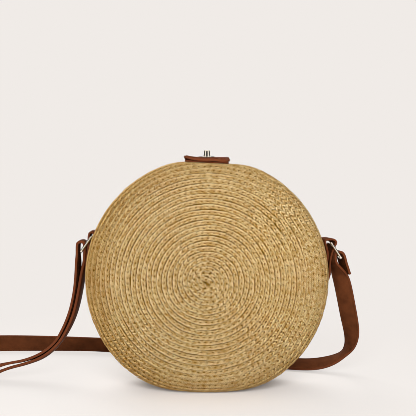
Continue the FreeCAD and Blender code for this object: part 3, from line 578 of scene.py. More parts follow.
def sewn_row_tree():
    """Nodes that set links, such as plaits or stitches, along the lines of a mesh."""
    known = bpy.data.node_groups.get("sewn_row")
    if known:
        return known
    tree = bpy.data.node_groups.new("sewn_row", "GeometryNodeTree")
    sockets = {
        "Geometry": "Geometry", "Link": "Object", "Spacing": "Float", "Turn": "Float", "Spread": "Float",
        "Seed": "Int", "Material": "Material",
    }
    for name, kind in sockets.items():
        tree.interface.new_socket(name, in_out="INPUT", socket_type=f"NodeSocket{kind}")
    tree.interface.new_socket("Geometry", in_out="OUTPUT", socket_type="NodeSocketGeometry")
    given = add_node(tree, "NodeGroupInput").outputs
    curve = add_node(tree, "GeometryNodeMeshToCurve", {"Mesh": given["Geometry"]})
    points = add_node(
        tree, "GeometryNodeResampleCurve", {"Curve": curve, "Length": given["Spacing"]}, mode="LENGTH"
    )
    outward = add_node(tree, "GeometryNodeInputNamedAttribute", {"Name": "outward"}, data_type="FLOAT_VECTOR")
    tangent = add_node(tree, "GeometryNodeInputTangent")
    facing = add_node(
        tree, "FunctionNodeAxesToRotation",
        {"Primary Axis": outward, "Secondary Axis": tangent},
        primary_axis="Z", secondary_axis="Y",
    )
    chance = add_node(
        tree, "FunctionNodeRandomValue",
        {0: (-1, -1, -1), 1: (1, 1, 1), "Seed": given["Seed"]},
        data_type="FLOAT_VECTOR",
    )
    lean = add_node(tree, "ShaderNodeVectorMath", {0: chance, "Scale": given["Turn"]}, operation="SCALE")
    tilt = add_node(tree, "FunctionNodeEulerToRotation", {"Euler": lean})
    turned = add_node(
        tree, "FunctionNodeRotateRotation", {"Rotation": facing, "Rotate By": tilt}, rotation_space="LOCAL"
    )
    grown = add_node(tree, "ShaderNodeVectorMath", {0: chance, "Scale": given["Spread"]}, operation="SCALE")
    size = add_node(tree, "ShaderNodeVectorMath", {0: grown, 1: (1, 1, 1)}, operation="ADD")
    link = add_node(tree, "GeometryNodeObjectInfo", {"Object": given["Link"]}).outputs["Geometry"]
    placed = add_node(
        tree, "GeometryNodeInstanceOnPoints",
        {"Points": points, "Instance": link, "Rotation": turned, "Scale": size},
    )
    tone = add_node(
        tree, "FunctionNodeRandomValue", {2: 0.0, 3: 1.0, "Seed": given["Seed"]}, data_type="FLOAT"
    )
    toned = add_node(
        tree, "GeometryNodeStoreNamedAttribute",
        {"Geometry": placed, "Name": "tone", "Value": tone},
        data_type="FLOAT", domain="INSTANCE",
    )
    real = add_node(tree, "GeometryNodeRealizeInstances", {"Geometry": toned})
    painted = add_node(tree, "GeometryNodeSetMaterial", {"Geometry": real, "Material": given["Material"]})
    add_node(tree, "NodeGroupOutput", {"Geometry": painted})
    return tree


def sew_row(lines, link, spacing, material, turn=0.0, spread=0.0, seed=1):
    """Set links along the lines and leave the result as one plain mesh on the lines' object."""
    tree = sewn_row_tree()
    modifier = lines.modifiers.new("sewn_row", "NODES")
    modifier.node_group = tree
    values = {
        "Link": link, "Spacing": spacing, "Turn": turn, "Spread": spread, "Seed": seed, "Material": material,
    }
    for socket in tree.interface.items_tree:
        if socket.in_out == "INPUT" and socket.name in values:
            modifier[socket.identifier] = values[socket.name]
    settle(lines)
    return lines


# Materials

def plaited_straw():
    """Plaited natural straw, dry and matt: each stalk has its own tone and fine lengthwise fibres."""
    straw = bpy.context.scene.bag_straw
    material, tree, shader = new_material("plaited_straw")
    place = add_node(tree, "ShaderNodeTexCoord").outputs["Object"]
    tone = add_node(tree, "ShaderNodeAttribute", attribute_name="tone").outputs["Fac"]
    strand = add_node(tree, "ShaderNodeUVMap", uv_map="strand")
    # Fibres 0.25 mm apart: a strand is 1.5 mm wide, so about six lie side by side
    stretched = add_node(tree, "ShaderNodeMapping", {"Vector": strand, "Scale": (1.5, 6, 1)})
    # Each plait takes its fibres from another part of the noise
    shifted = add_node(
        tree, "ShaderNodeVectorMath", {0: tone, 1: FIBRE_STRIDE, 2: stretched}, operation="MULTIPLY_ADD"
    )
    fibre = add_node(tree, "ShaderNodeTexNoise", {"Vector": shifted, "Scale": 1.0, "Detail": 3.0})
    # Every strand has its own tone: its number in the plait and the plait's tone pick it
    parts = add_node(tree, "ShaderNodeSeparateXYZ", {"Vector": strand}).outputs
    number = add_node(tree, "ShaderNodeMath", {0: parts["Y"]}, operation="ROUND")
    pick = add_node(tree, "ShaderNodeMath", {0: tone, 1: STRAND_STRIDE, 2: number}, operation="MULTIPLY_ADD")
    chance = add_node(tree, "ShaderNodeTexWhiteNoise", {"W": pick}, noise_dimensions="1D")
    # Bundles of straw change tone about every 9 mm, two plaits along
    bundle = add_node(tree, "ShaderNodeTexNoise", {"Vector": place, "Scale": 1 / (9 * MM), "Detail": 2.0})
    mixed = add_node(
        tree, "ShaderNodeMix", {"Factor": FIBRE_SHARE, "A": bundle, "B": fibre}, data_type="FLOAT"
    )
    spread = add_node(
        tree, "ShaderNodeMix", {"Factor": STRAND_TONE_SHARE, "A": mixed, "B": chance}, data_type="FLOAT"
    )
    shade = add_node(
        tree, "ShaderNodeValToRGB", {"Fac": spread}, stops=[(0.25, straw.dark), (0.75, straw.light)]
    )
    # A row's outer edge gets a painted highlight, and its inner edge painted shade where it tucks under the
    # last row;
    # both are painted strongest on the bag's left and faint on its right, as the light falls from the right
    aside = add_node(tree, "ShaderNodeSeparateXYZ", {"Vector": place}).outputs["X"]
    strength = add_node(
        tree, "ShaderNodeMapRange",
        {
            "Value": aside, "From Min": ROW_EDGE_HIGHLIGHT_AND_SHADE_FROM, "From Max": ROW_EDGE_HIGHLIGHT_AND_SHADE_TO,
            "To Min": ROW_EDGE_HIGHLIGHT_AND_SHADE_LEFT_SHARE, "To Max": ROW_EDGE_HIGHLIGHT_AND_SHADE_RIGHT_SHARE,
        },
        interpolation_type="SMOOTHSTEP",
    )
    for edge, tint in ((1, straw.edge), (-1, straw.gap)):
        share = add_node(
            tree, "ShaderNodeMapRange",
            {"Value": parts["X"], "From Min": edge / 2, "From Max": edge, "To Min": 0, "To Max": strength},
        )
        shade = add_node(tree, "ShaderNodeMix", {"Factor": share, 6: shade, 7: tint}, data_type="RGBA")
    # Shoulder and side wall browner and darker: partly browner straw, partly painted shade, strongest on the
    # left
    centred = add_node(
        tree, "ShaderNodeMapping",
        {"Vector": place, "Location": (-HANDLED_AND_SHADE_ASIDE, 0, -BAG_MIDDLE - HANDLED_AND_SHADE_UP), "Scale": (1, 0, 1)},
    )
    from_middle = add_node(tree, "ShaderNodeVectorMath", {0: centred}, operation="LENGTH")
    handling = add_node(
        tree, "ShaderNodeMapRange",
        {"Value": from_middle, "From Min": HANDLED_AND_SHADE_FROM, "From Max": HANDLED_AND_SHADE_TO},
        interpolation_type="SMOOTHSTEP",
    )
    browned_and_shaded = add_node(
        tree, "ShaderNodeMix",
        {"Factor": handling, 6: shade, 7: straw.handled},
        data_type="RGBA", blend_type="MULTIPLY",
    )
    bump = add_node(tree, "ShaderNodeBump", {"Strength": 0.35, "Distance": 0.15 * MM, "Height": fibre})
    finish = {"Base Color": browned_and_shaded, "Normal": bump, "Roughness": 0.5, "Specular IOR Level": 0.04}
    set_inputs(shader, finish)
    return material


def speckled(name, stops, speck, detail, roughness, shine):
    """A rough material that changes between two colours in specks of this size."""
    material, tree, shader = new_material(name)
    place = add_node(tree, "ShaderNodeTexCoord").outputs["Object"]
    specks = add_node(tree, "ShaderNodeTexNoise", {"Vector": place, "Scale": 1 / speck, "Detail": detail})
    colour = add_node(tree, "ShaderNodeValToRGB", {"Fac": specks}, stops=stops)
    set_inputs(shader, {"Base Color": colour, "Roughness": roughness, "Specular IOR Level": shine})
    return material


def shaded_straw_core():
    """The straw deep between the plaits, painted dark as shade so that it shows as dark holes and grooves.

    Its blotches are about 3 mm across, most of the length of a plait."""
    straw = bpy.context.scene.bag_straw
    stops = [(0.4, straw.gap), (1.0, straw.dark)]
    return speckled("shaded_straw_core", stops, speck=3 * MM, detail=2.0, roughness=0.9, shine=0.0)


def leather_edge():
    """Cut leather edge, fibrous and burnished: it draws a warm line along the strap.

    Its fibre specks are about 0.6 mm long."""
    colours = bpy.context.scene.bag_leather
    stops = [(0.3, colours.strap), (0.7, colours.edge)]
    return speckled("leather_edge", stops, speck=0.6 * MM, detail=2.0, roughness=0.6, shine=0.15)


def leather_flesh():
    """The flesh side of the leather: dark, napped and matt, seen inside the folds.

    Its nap is about 1.2 mm long."""
    colours = bpy.context.scene.bag_leather
    stops = [(0.3, colours.flesh), (0.8, colours.strap_dark)]
    return speckled("leather_flesh", stops, speck=1.2 * MM, detail=3.0, roughness=0.95, shine=0.0)


def leather(name, face, shade, roughness, shine):
    """Smooth dyed cowhide, nearly matt: fine pebbled grain and soft mottling."""
    material, tree, shader = new_material(name)
    place = add_node(tree, "ShaderNodeTexCoord").outputs["Object"]
    # Mottling about 9 mm across
    mottle = add_node(tree, "ShaderNodeTexNoise", {"Vector": place, "Scale": 1 / (9 * MM), "Detail": 5.0})
    # Grain cells of about 0.8 mm, coarser than the real 0.4 mm so that they show
    grain = add_node(tree, "ShaderNodeTexVoronoi", {"Vector": place, "Scale": 1 / (0.8 * MM)}, feature="F1")
    colour = add_node(tree, "ShaderNodeValToRGB", {"Fac": mottle}, stops=[(0.3, shade), (0.68, face)])
    # Pale spots are smoother than dark ones
    gloss = add_node(
        tree, "ShaderNodeMapRange", {"Value": mottle, "To Min": roughness + 0.1, "To Max": roughness - 0.06}
    )
    bump = add_node(tree, "ShaderNodeBump", {"Strength": 0.25, "Distance": 0.1 * MM, "Height": grain})
    finish = {"Base Color": colour, "Roughness": gloss, "Normal": bump, "Specular IOR Level": shine}
    set_inputs(shader, finish)
    return material


def strap_cowhide():
    """The brown leather of the strap and the side tabs."""
    colours = bpy.context.scene.bag_leather
    return leather("strap_cowhide", colours.strap, colours.strap_dark, roughness=0.62, shine=0.03)


def tab_cowhide():
    """The redder leather of the closure."""
    colours = bpy.context.scene.bag_leather
    return leather("tab_cowhide", colours.tab, colours.strap_dark, roughness=0.6, shine=0.0)


def nickel_plating():
    """Polished pale nickel on die-cast metal: bright reflections, faintly softened by handling."""
    metal = bpy.context.scene.bag_metal
    material, tree, shader = new_material("nickel_plating")
    place = add_node(tree, "ShaderNodeTexCoord").outputs["Object"]
    # Rubbed patches about 2 mm across
    rubbed = add_node(tree, "ShaderNodeTexNoise", {"Vector": place, "Scale": 1 / (2 * MM), "Detail": 4.0})
    gloss = add_node(
        tree, "ShaderNodeMapRange",
        {"Value": rubbed, "To Min": metal.roughness - 0.03, "To Max": metal.roughness + 0.05},
    )
    set_inputs(shader, {"Base Color": metal.plating, "Metallic": 1.0, "Roughness": gloss})
    return material


def sewing_thread(name, colour):
    """Twisted waxed thread: a slanting ply shows along each stitch."""
    material, tree, shader = new_material(name)
    strand = add_node(tree, "ShaderNodeUVMap", uv_map="strand")
    # Three turns of ply in a stitch
    ply = add_node(
        tree, "ShaderNodeTexWave",
        {"Vector": strand, "Scale": 1.6, "Distortion": 0.6},
        bands_direction="DIAGONAL",
    ).outputs["Fac"]
    # The crests of the ply are half as bright again: a painted highlight
    pale = tuple(min(1.0, share * 1.5) for share in colour[:3]) + (1.0,)
    tint = add_node(tree, "ShaderNodeValToRGB", {"Fac": ply}, stops=[(0.2, colour), (0.9, pale)])
    bump = add_node(tree, "ShaderNodeBump", {"Strength": 0.4, "Distance": 0.1 * MM, "Height": ply})
    set_inputs(shader, {"Base Color": tint, "Normal": bump, "Roughness": 0.6})
    return material


def waxed_thread():
    """The brown thread that sews the leather."""
    return sewing_thread("waxed_thread", bpy.context.scene.bag_leather.stitch)


def hinge_thread():
    """The straw-coloured thread that joins the two rims."""
    return sewing_thread("hinge_thread", bpy.context.scene.bag_straw.dark)


def lining_cotton():
    """Plain-woven unbleached cotton, soft and matt, with its threads just visible."""
    cloth = bpy.context.scene.bag_cloth
    material, tree, shader = new_material("lining_cotton")
    weave = add_node(tree, "ShaderNodeUVMap", uv_map="strand")
    # Threads 1 mm apart, coarser than the real 0.5 mm so that they show; at scale 1 a wave is pi / 10 long
    threads = []
    for direction in ("X", "Y"):
        wave = add_node(
            tree, "ShaderNodeTexWave",
            {"Vector": weave, "Scale": math.pi / 10 / MM, "Distortion": 0.5},
            bands_direction=direction,
        )
        threads.append(wave.outputs["Fac"])
    crossed = add_node(tree, "ShaderNodeMath", dict(enumerate(threads)), operation="MULTIPLY")
    # Painted shade between the threads, where the weave dips
    tint = add_node(
        tree, "ShaderNodeValToRGB", {"Fac": crossed}, stops=[(0.0, cloth.lining_dark), (0.6, cloth.lining)]
    )
    bump = add_node(tree, "ShaderNodeBump", {"Strength": 0.5, "Distance": 0.2 * MM, "Height": crossed})
    finish = {"Base Color": tint, "Normal": bump, "Roughness": 0.85, "Sheen Weight": 0.2}
    set_inputs(shader, finish)
    return material


def pale_floor():
    """Pale paper that keeps the bag's soft shadow and fades into the backdrop."""
    stage = bpy.context.scene.bag_stage
    material, tree, shader = new_material("pale_floor")
    tree.nodes.remove(shader)
    place = add_node(tree, "ShaderNodeTexCoord").outputs["Object"]
    away = add_node(tree, "ShaderNodeVectorMath", {0: place}, operation="LENGTH")
    fade = add_node(
        tree, "ShaderNodeValToRGB",
        {"Fac": away},
        stops=[(distance, (share, share, share, 1)) for distance, share in FLOOR_FADE],
    )
    seen = seen_share(tree)
    faded = add_node(tree, "ShaderNodeMath", {0: seen, 1: fade}, operation="MULTIPLY")
    # The paper lights the bag less than it would with the colour that is seen
    colour = add_node(
        tree, "ShaderNodeMix", {"Factor": seen, 6: stage.bounce, 7: stage.paper}, data_type="RGBA"
    )
    paper = add_node(tree, "ShaderNodeBsdfDiffuse", {"Color": colour})
    glow = add_node(tree, "ShaderNodeEmission", {"Color": stage.backdrop, "Strength": 1.0})
    surface = add_node(tree, "ShaderNodeMixShader", {0: faded, 1: paper, 2: glow})
    set_inputs(tree.nodes["Material Output"], {"Surface": surface})
    return material


def black_card():
    """Dull black card, which gives the metal its dark reflections."""
    material, _, shader = new_material("black_card")
    set_inputs(shader, {"Base Color": bpy.context.scene.bag_stage.card})
    return material


# Straw shells

def shell_outline():
    """A shell's outside from the middle of its face to its rim: distance along it, radius and depth."""
    face_radius = BAG_RADIUS - SHOULDER_WIDTH
    share = np.linspace(0, 1, OUTLINE_POINTS)
    face = np.stack([face_radius * share, SHELL_DEPTH - CROWN * share ** 2])
    turn = share[1:] * np.pi / 2
    shoulder = np.stack([
        face_radius + SHOULDER_WIDTH * np.sin(turn),
        SHELL_DEPTH - CROWN - SHOULDER_DROP * (1 - np.cos(turn)),
    ])
    rim = np.array([[BAG_RADIUS], [HALF_SEAM]])
    radius, depth = np.concatenate([face, shoulder, rim], axis=1)
    steps = np.hypot(np.diff(radius), np.diff(depth))
    return np.concatenate([[0], np.cumsum(steps)]), radius, depth


def shell_profile(along):
    """Radius and depth of a shell's outside at distances along it from the middle of its face."""
    distance, radius, depth = shell_outline()
    return np.interp(along, distance, radius), np.interp(along, distance, depth)


def rim_distance():
    """Distance along a shell from the middle of its face to its rim."""
    return shell_outline()[0][-1]


def held_above(height, limit, turn):
    """Heights held above a limit, with a soft turn towards it."""
    rise = height - limit
    return limit + (rise + np.sqrt(rise ** 2 + turn ** 2)) / 2


def press_flat(height, x):
    """Heights of a round shell that settles on the floor and is pressed flat under the leaning lock."""
    stood = held_above(height, FLOOR_SINK, FLOOR_TURN)
    top = BAG_TOP - TOP_LEAN * x
    return top - held_above(top - stood, 0.0, LOCK_TURN)


def on_shell(side, along, angle, shift=0.0):
    """Points on a shell's outside; shift opens the spiral's start into a slit."""
    radius, depth = shell_profile(along)
    aside = shift * np.tanh(SLIT_SHARPNESS * np.cos(angle - SLIT_ANGLE))
    slump = np.where(np.sin(angle) < 0, np.sin(2 * angle) ** 2, 0)
    radius = radius * (1 + SLUMP_SHARE * slump)
    x = -side * (radius * np.cos(angle) + aside * math.cos(SLIT_ANGLE))
    z = BAG_MIDDLE - SHELL_SAG + radius * np.sin(angle) + aside * math.sin(SLIT_ANGLE)
    return np.stack([x, side * depth, press_flat(z, x)], axis=-1)


def shell_outward(side, along, angle):
    """Outward directions of a shell's outside."""
    step = NORMAL_STEP
    across = on_shell(side, along + step, angle) - on_shell(side, np.maximum(along - step, step), angle)
    turn = step / np.maximum(shell_profile(along)[0], step)
    around = on_shell(side, along, angle + turn) - on_shell(side, along, angle - turn)
    outward = unit(np.cross(around, across))
    middle = np.array([0.0, 0.0, BAG_MIDDLE])
    facing = np.sum((on_shell(side, along, angle) - middle) * outward, axis=-1, keepdims=True)
    return np.where(facing < 0, -outward, outward)


def inset_loop(side, level, angle, inset):
    """A loop round a shell at one distance along it, set in from its outside."""
    along = np.full(len(angle), level)
    return on_shell(side, along, angle) - inset * shell_outward(side, along, angle)


def plait_link(width):
    """One plait of a row: slanting strands on each side of the row's middle, each a closed wedge.

    The strands on the row's outer side (low x) stand proud of the next row, and those on its inner side tuck
    down under the last one. The first strand of each side starts late, which leaves a hole in every plait."""
    straw = bpy.context.scene.bag_straw
    half = width / 2
    pitch = straw.plait_length / STRANDS
    points = []
    faces = []
    strand_uvs = []
    for hand, *edge_shares in PLAIT_EDGE_SHARES:
        for number in range(STRANDS):
            first = len(points)
            place = pitch * (number + 0.5) - straw.plait_length / 2
            start = HOLE_HALF if number == 0 else 0.0
            inner = (start, STRAND_RISE_SHARE, STRAND_ROUND_SHARE, STRAND_WIDTH_SHARE)
            outer = (half, *edge_shares)
            for across, high, rounding, share in (inner, outer):
                for side in (-1, 0, 1):
                    y = place + across - half / 2 + side * share * pitch / 2
                    z = straw.plait_rise * (high - rounding * abs(side))
                    points.append((hand * across, y, z))
                    strand_uvs.append((-hand * across / half, len(faces) + side / 2))
            corners = ((0, 1, 4, 3), (1, 2, 5, 4), (0, 3, 5, 2), (0, 2, 1), (3, 4, 5))
            faces += [tuple(first + corner for corner in face) for face in corners]
    mesh = bpy.data.meshes.new("plait")
    mesh.from_pydata(points, [], faces)
    mesh.polygons.foreach_set("use_smooth", [True] * len(faces))
    layer = mesh.uv_layers.new(name="strand")
    layer.uv.foreach_set("vector", np.ravel([strand_uvs[corner.vertex_index] for corner in mesh.loops]))
    turn_faces_outward(mesh, merged=False)
    return add_object("plait", mesh)


def spiral_of_rows(side, row_width):
    """The line of the braid from the slit in the middle out to the rim, with its outward directions."""
    turns = (rim_distance() - RIM_ROWS * row_width) / row_width
    numbers = turns * np.linspace(0, 1, SPIRAL_SAMPLES)
    lengths = np.pi * row_width * numbers ** 2
    wanted = np.arange(0, lengths[-1], PATH_STEP)
    number = np.interp(wanted, lengths, numbers)
    angle = SPIRAL_START_ANGLE - 2 * np.pi * number
    sway = ROW_SWAY * sum(
        strength * np.sin(waves * angle + shift * number) for strength, waves, shift in SWAY_WAVES
    )
    along = row_width * (number + SLIT_OPEN_SHARE) + sway * np.clip(number / STEADY_TURNS, 0, 1)
    slit = SLIT_HALF * np.exp(-along / SLIT_REACH)
    return on_shell(side, along, angle, slit), shell_outward(side, along, angle)


def ring_row(side, along):
    """A closed line round a shell at a distance along it, with its outward directions."""
    angle = 2 * np.pi - full_turn(int(2 * math.pi * BAG_RADIUS / PATH_STEP))
    level = np.full(len(angle), along)
    return on_shell(side, level, angle), shell_outward(side, level, angle)


def shell_braid(side, name, link):
    """The sewn rows of plaits on one shell."""
    straw = bpy.context.scene.bag_straw
    spiral, spiral_out = spiral_of_rows(side, straw.row_width)
    ring, ring_out = ring_row(side, rim_distance() - straw.row_width / 2)
    lines = line_mesh(name, [(spiral, False), (ring, True)], np.concatenate([spiral_out, ring_out]))
    return sew_row(
        lines, link, straw.plait_length, made(plaited_straw), BRAID_TURN, BRAID_SPREAD, BRAID_SEED + side
    )


def shell_core(side, name):
    """The closed straw wall that the plaits stand on."""
    levels = CORE_LEVEL_SHARES * (rim_distance() - CORE_SETBACK)
    dimple = SLIT_DIMPLE * np.exp(-(levels / SLIT_REACH) ** 2)
    sunk = CORE_SINK_SHARE * bpy.context.scene.bag_straw.plait_rise + dimple
    rows = list(zip(levels, sunk)) + [(level, SHELL_WALL) for level in levels[::-1]]
    angle = full_turn(CORE_COLUMNS)
    return loft(name, [inset_loop(side, level, angle, inset) for level, inset in rows], [made(shaded_straw_core)])


# Leather

def spline_points(points):
    """Points along the smooth NURBS line whose control points these are."""
    data = bpy.data.curves.new("route", "CURVE")
    data.dimensions = "3D"
    data.resolution_u = ROUTE_RESOLUTION
    spline = data.splines.new("NURBS")
    spline.points.add(len(points) - 1)
    for control, place in zip(spline.points, points):
        control.co = (*place, 1)
    spline.order_u = 3
    spline.use_endpoint_u = True
    line = add_object("route", data)
    bpy.context.view_layer.update()
    mesh = bpy.data.meshes.new_from_object(line)
    places = np.array([vertex.co for vertex in mesh.vertices])
    discard(line)
    bpy.data.meshes.remove(mesh)
    return places


def band_section(width, thickness, flesh_up):
    """Section of a leather band with rounded edges and a creased line near each edge.

    Also gives the material numbers of its columns: 1 at the cut edges and 2 on the flesh side."""
    half = width / 2
    thick = thickness / 2
    edge = [(half - inset * thickness, height * thick) for inset, height in BAND_EDGE_SHARES]
    upper = [(-x, z) for x, z in edge[::-1]] + [(0.0, thick)] + edge
    lower = [(x, -z) for x, z in upper[::-1]]
    count = len(upper)
    flesh = range(count - 1) if flesh_up else range(count, 2 * count - 1)
    column_slots = {column: 2 for column in flesh}
    for column in (count - 2, count - 1, count, 2 * count - 2, 2 * count - 1, 0):
        column_slots[column] = 1
    return upper + lower, column_slots


def band(name, route, width, thickness, flesh_up=False):
    """A flat leather band along a route of points and width directions; also gives its middle line.

    flesh_up puts the rough flesh side on the left of the route, seen from its far edge."""
    middle = spline_points([place for place, wide in route])
    side = spline_points([Vector(place) + width / 2 * Vector(wide).normalized() for place, wide in route])
    wide = unit(side - middle)
    along = unit(np.gradient(middle, axis=0))
    thick = unit(np.cross(along, wide))
    section, column_slots = band_section(width, thickness, flesh_up)
    loops = np.stack([middle + x * wide + z * thick for x, z in section], axis=1)
    materials = [made(strap_cowhide), made(leather_edge), made(leather_flesh)]
    return loft(name, loops, materials, column_slots=column_slots), middle


def outer_bar(node, side):
    """Middle of a ring's outer bar, round which the strap is folded."""
    low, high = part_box(node)
    x = high.x - WIRE_RADIUS if side > 0 else low.x + WIRE_RADIUS
    return Vector((x, STRAP_Y, low.z + WIRE_RADIUS))


def folded_over(bar, fold):
    """A fold's points moved to its bar."""
    return [(tuple(bar + Vector(offset)), wide) for offset, wide in fold]


def rounded_outline(low, high, low_corner, high_corner, inset=0.0):
    """Evenly spaced points round a rectangle with rounded corners, from the middle of its low side."""
    low_x, low_y = low[0] + inset, low[1] + inset
    high_x, high_y = high[0] - inset, high[1] - inset
    corners = (
        (high_x, low_y, low_corner, -90), (high_x, high_y, high_corner, 0),
        (low_x, high_y, high_corner, 90), (low_x, low_y, low_corner, 180),
    )
    dense = [((low_x + high_x) / 2, low_y)]
    for x, y, corner, start in corners:
        radius = max(corner - inset, SMALLEST_CORNER)
        middle_x = x - math.copysign(radius, x - dense[0][0])
        middle_y = y - math.copysign(radius, y - (low_y + high_y) / 2)
        for step in range(CORNER_STEPS + 1):
            angle = math.radians(start + 90 * step / CORNER_STEPS)
            dense.append((middle_x + radius * math.cos(angle), middle_y + radius * math.sin(angle)))
    dense.append(dense[0])
    dense = np.array(dense)
    distance = np.concatenate([[0], np.cumsum(np.linalg.norm(np.diff(dense, axis=0), axis=1))])
    wanted = np.linspace(0, distance[-1], SHEET_POINTS, endpoint=False)
    return np.stack([np.interp(wanted, distance, dense[:, axis]) for axis in (0, 1)], axis=1)


def stitch_link():
    """One stitch: a bowed length of thread whose ends go into the leather."""
    loops = []
    for place, thick in STITCH_SHARES:
        height = STITCH_WIDTH * (STITCH_RISE_SHARE - STITCH_BOW_SHARE * place ** 2)
        radius = thick * STITCH_WIDTH / 2
        loops.append([
            (radius * math.cos(turn), place * STITCH_LENGTH, height + radius * math.sin(turn))
            for turn in full_turn(THREAD_SIDES)
        ])
    weave = (1 / THREAD_SIDES, [place + 0.5 for place, thick in STITCH_SHARES])
    return loft("stitch", loops, [], weave=weave)


def sew_leather(name, lines, outward):
    """Stitches along lines on leather."""
    link = stitch_link()
    seam = line_mesh(name, lines, outward)
    sew_row(seam, link, STITCH_PITCH, made(waxed_thread), STITCH_TURN, STITCH_SPREAD, STITCH_SEED)
    discard(link)
    return seam


def sewn_sheet(word, hole, outline, thickness, shaped):
    """A cut leather sheet with a hole and softly rounded edges, and the stitches round it.

    hole is a loop of points, outline gives the outer loop at an inset from the edge, and shaped places points
    of the flat sheet in the bag."""
    soft = SHEET_SOFT_SHARE * thickness
    face = [hole * (1 - share) + outline(soft) * share for share in np.linspace(0, 1, SHEET_LOOPS)]
    edge = [(outline(inset * soft), height) for inset, height in SHEET_EDGE_SHARES]
    flat = [(loop, 1.0) for loop in face] + edge + [(loop, -1.0) for loop in face[::-1]]
    loops = [shaped(loop[:, 0], loop[:, 1], height * thickness / 2) for loop, height in flat]
    edge_rows = range(len(face) - 1, len(face) + len(edge))
    materials = [made(tab_cowhide), made(leather_edge)]
    sheet = loft(f"leather_{word}", loops, materials, ring=True, edge_rows=edge_rows)
    line = outline(STITCH_INSET)
    line = shaped(line[:, 0], line[:, 1], thickness / 2)
    return sheet, sew_leather(f"{word}_stitches", [(line, True)], [(0, 0, 1)] * len(line))


# Stage

def towards_bag(place):
    """The turn that makes a thing at this place look at the middle of the bag."""
    aim = Vector((0, 0, BAG_MIDDLE)) - Vector(place)
    return aim.to_track_quat("-Z", "Y")


def add_panel(name, material, width, height, place, turn):
    """A flat panel round a place, which is stage and not bag."""
    corners = ((-width, -height, 0), (width, -height, 0), (width, height, 0), (-width, height, 0))
    mesh = bpy.data.meshes.new(name)
    mesh.from_pydata([Vector(place) + turn @ Vector(corner) / 2 for corner in corners], [], [(0, 1, 2, 3)])
    mesh.materials.append(material)
    panel = add_object(name, mesh)
    return panel


# Operators

class BAG_OT_stage(bpy.types.Operator):
    """Floor, backdrop, light and camera"""

    bl_idname = "bag.stage"
    bl_label = "Stage"

    def execute(self, context):
        stage = context.scene.bag_stage
        context.scene.view_settings.view_transform = "Standard"
        context.scene.cycles.filter_width = PIXEL_FILTER
        add_panel("floor", pale_floor(), FLOOR_WIDTH, FLOOR_WIDTH, (0, 0, 0), Quaternion())
        self.add_world(context, stage)
        for name, place, size, power in LAMPS:
            self.add_light(name, place, size, power)
        for place, width, height in DARK_CARDS:
            self.add_card(place, width, height)
        self.add_camera(context, stage)
        return {"FINISHED"}

    def add_world(self, context, stage):
        """Even soft light from all round, seen as the pale backdrop."""
        world = bpy.data.worlds.new("soft_room")
        world.use_nodes = True
        context.scene.world = world
        tree = world.node_tree
        strength = add_node(
            tree, "ShaderNodeMapRange", {"Value": seen_share(tree), "To Min": ROOM_LIGHT, "To Max": 1.0}
        )
        set_inputs(tree.nodes["Background"], {"Color": stage.backdrop, "Strength": strength})

    def add_light(self, name, place, size, power):
        """A square soft lamp that looks at the bag; neither the camera nor a reflection shows it."""
        data = bpy.data.lights.new(name, "AREA")
        data.size = size
        data.energy = power
        lamp = add_object(name, data)
        lamp.location = place
        lamp.rotation_euler = towards_bag(place).to_euler()
        lamp.visible_camera = False
        lamp.visible_glossy = False

    def add_card(self, place, width, height):
        """A dark card that faces the bag, which only its reflections in metal and leather show."""
        card = add_panel("dark_card", made(black_card), width, height, place, towards_bag(place))
        card.visible_camera = False
        card.visible_diffuse = False
        card.visible_shadow = False

    def add_camera(self, context, stage):
        """The photograph's view: level with the top of the bag and looking slightly down."""
        data = bpy.data.cameras.new("camera")
        data.angle = stage.field_of_view
        camera = add_object("camera", data)
        camera.location = (CAMERA_ASIDE, -stage.camera_distance, stage.camera_height)
        camera.rotation_euler = (math.pi / 2 - stage.camera_pitch, 0, 0)
        context.scene.camera = camera


class BAG_OT_strap(bpy.types.Operator):
    """Leather strap in three runs, with its folds over the rings"""

    bl_idname = "bag.strap"
    bl_label = "Strap"

    def execute(self, context):
        right_bar = outer_bar("ring_right", 1)
        left_bar = outer_bar("ring_left", -1)
        main_route = folded_over(right_bar, RIGHT_FOLD) + MAIN_ROUTE
        upper_route = UPPER_ROUTE + folded_over(left_bar, LEFT_FOLD_OUTER)
        lower_route = folded_over(left_bar, LEFT_FOLD_INNER) + LOWER_ROUTE
        long_nodes = ("strap_main", "strap_end_right")
        upper_nodes = ("strap_left_upper", "strap_end_left")
        self.add_run("strap_long_run", main_route, right_bar, "right_ring", long_nodes, flesh_up=True)
        self.add_run("strap_upper_run", upper_route, left_bar, "left_ring", upper_nodes)
        self.add_run("strap_lower_run", lower_route, left_bar, "left_ring", ("strap_left_lower",))
        return {"FINISHED"}

    def add_run(self, name, route, bar, ring_body, nodes, flesh_up=False):
        """One run of the strap, laid along its route and fixed in place."""
        sizes = bpy.context.scene.bag_leather
        piece, middle = band(name, route, sizes.strap_width, sizes.strap_thickness, flesh_up)
        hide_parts(*nodes)
        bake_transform(piece)


class BAG_OT_straw_shells(bpy.types.Operator):
    """Spirally sewn straw shells"""

    bl_idname = "bag.straw_shells"
    bl_label = "Straw shells"

    def execute(self, context):
        link = plait_link(context.scene.bag_straw.row_width * (1 - GROOVE_SHARE))
        for side, word in HALVES:
            braid = shell_braid(side, f"{word}_straw_braid", link)
            core = shell_core(side, f"{word}_straw_core")
            for piece in (braid, core):
                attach(piece, f"{word}_half")
                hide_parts(f"{word}_shell")
        discard(link)
        return {"FINISHED"}


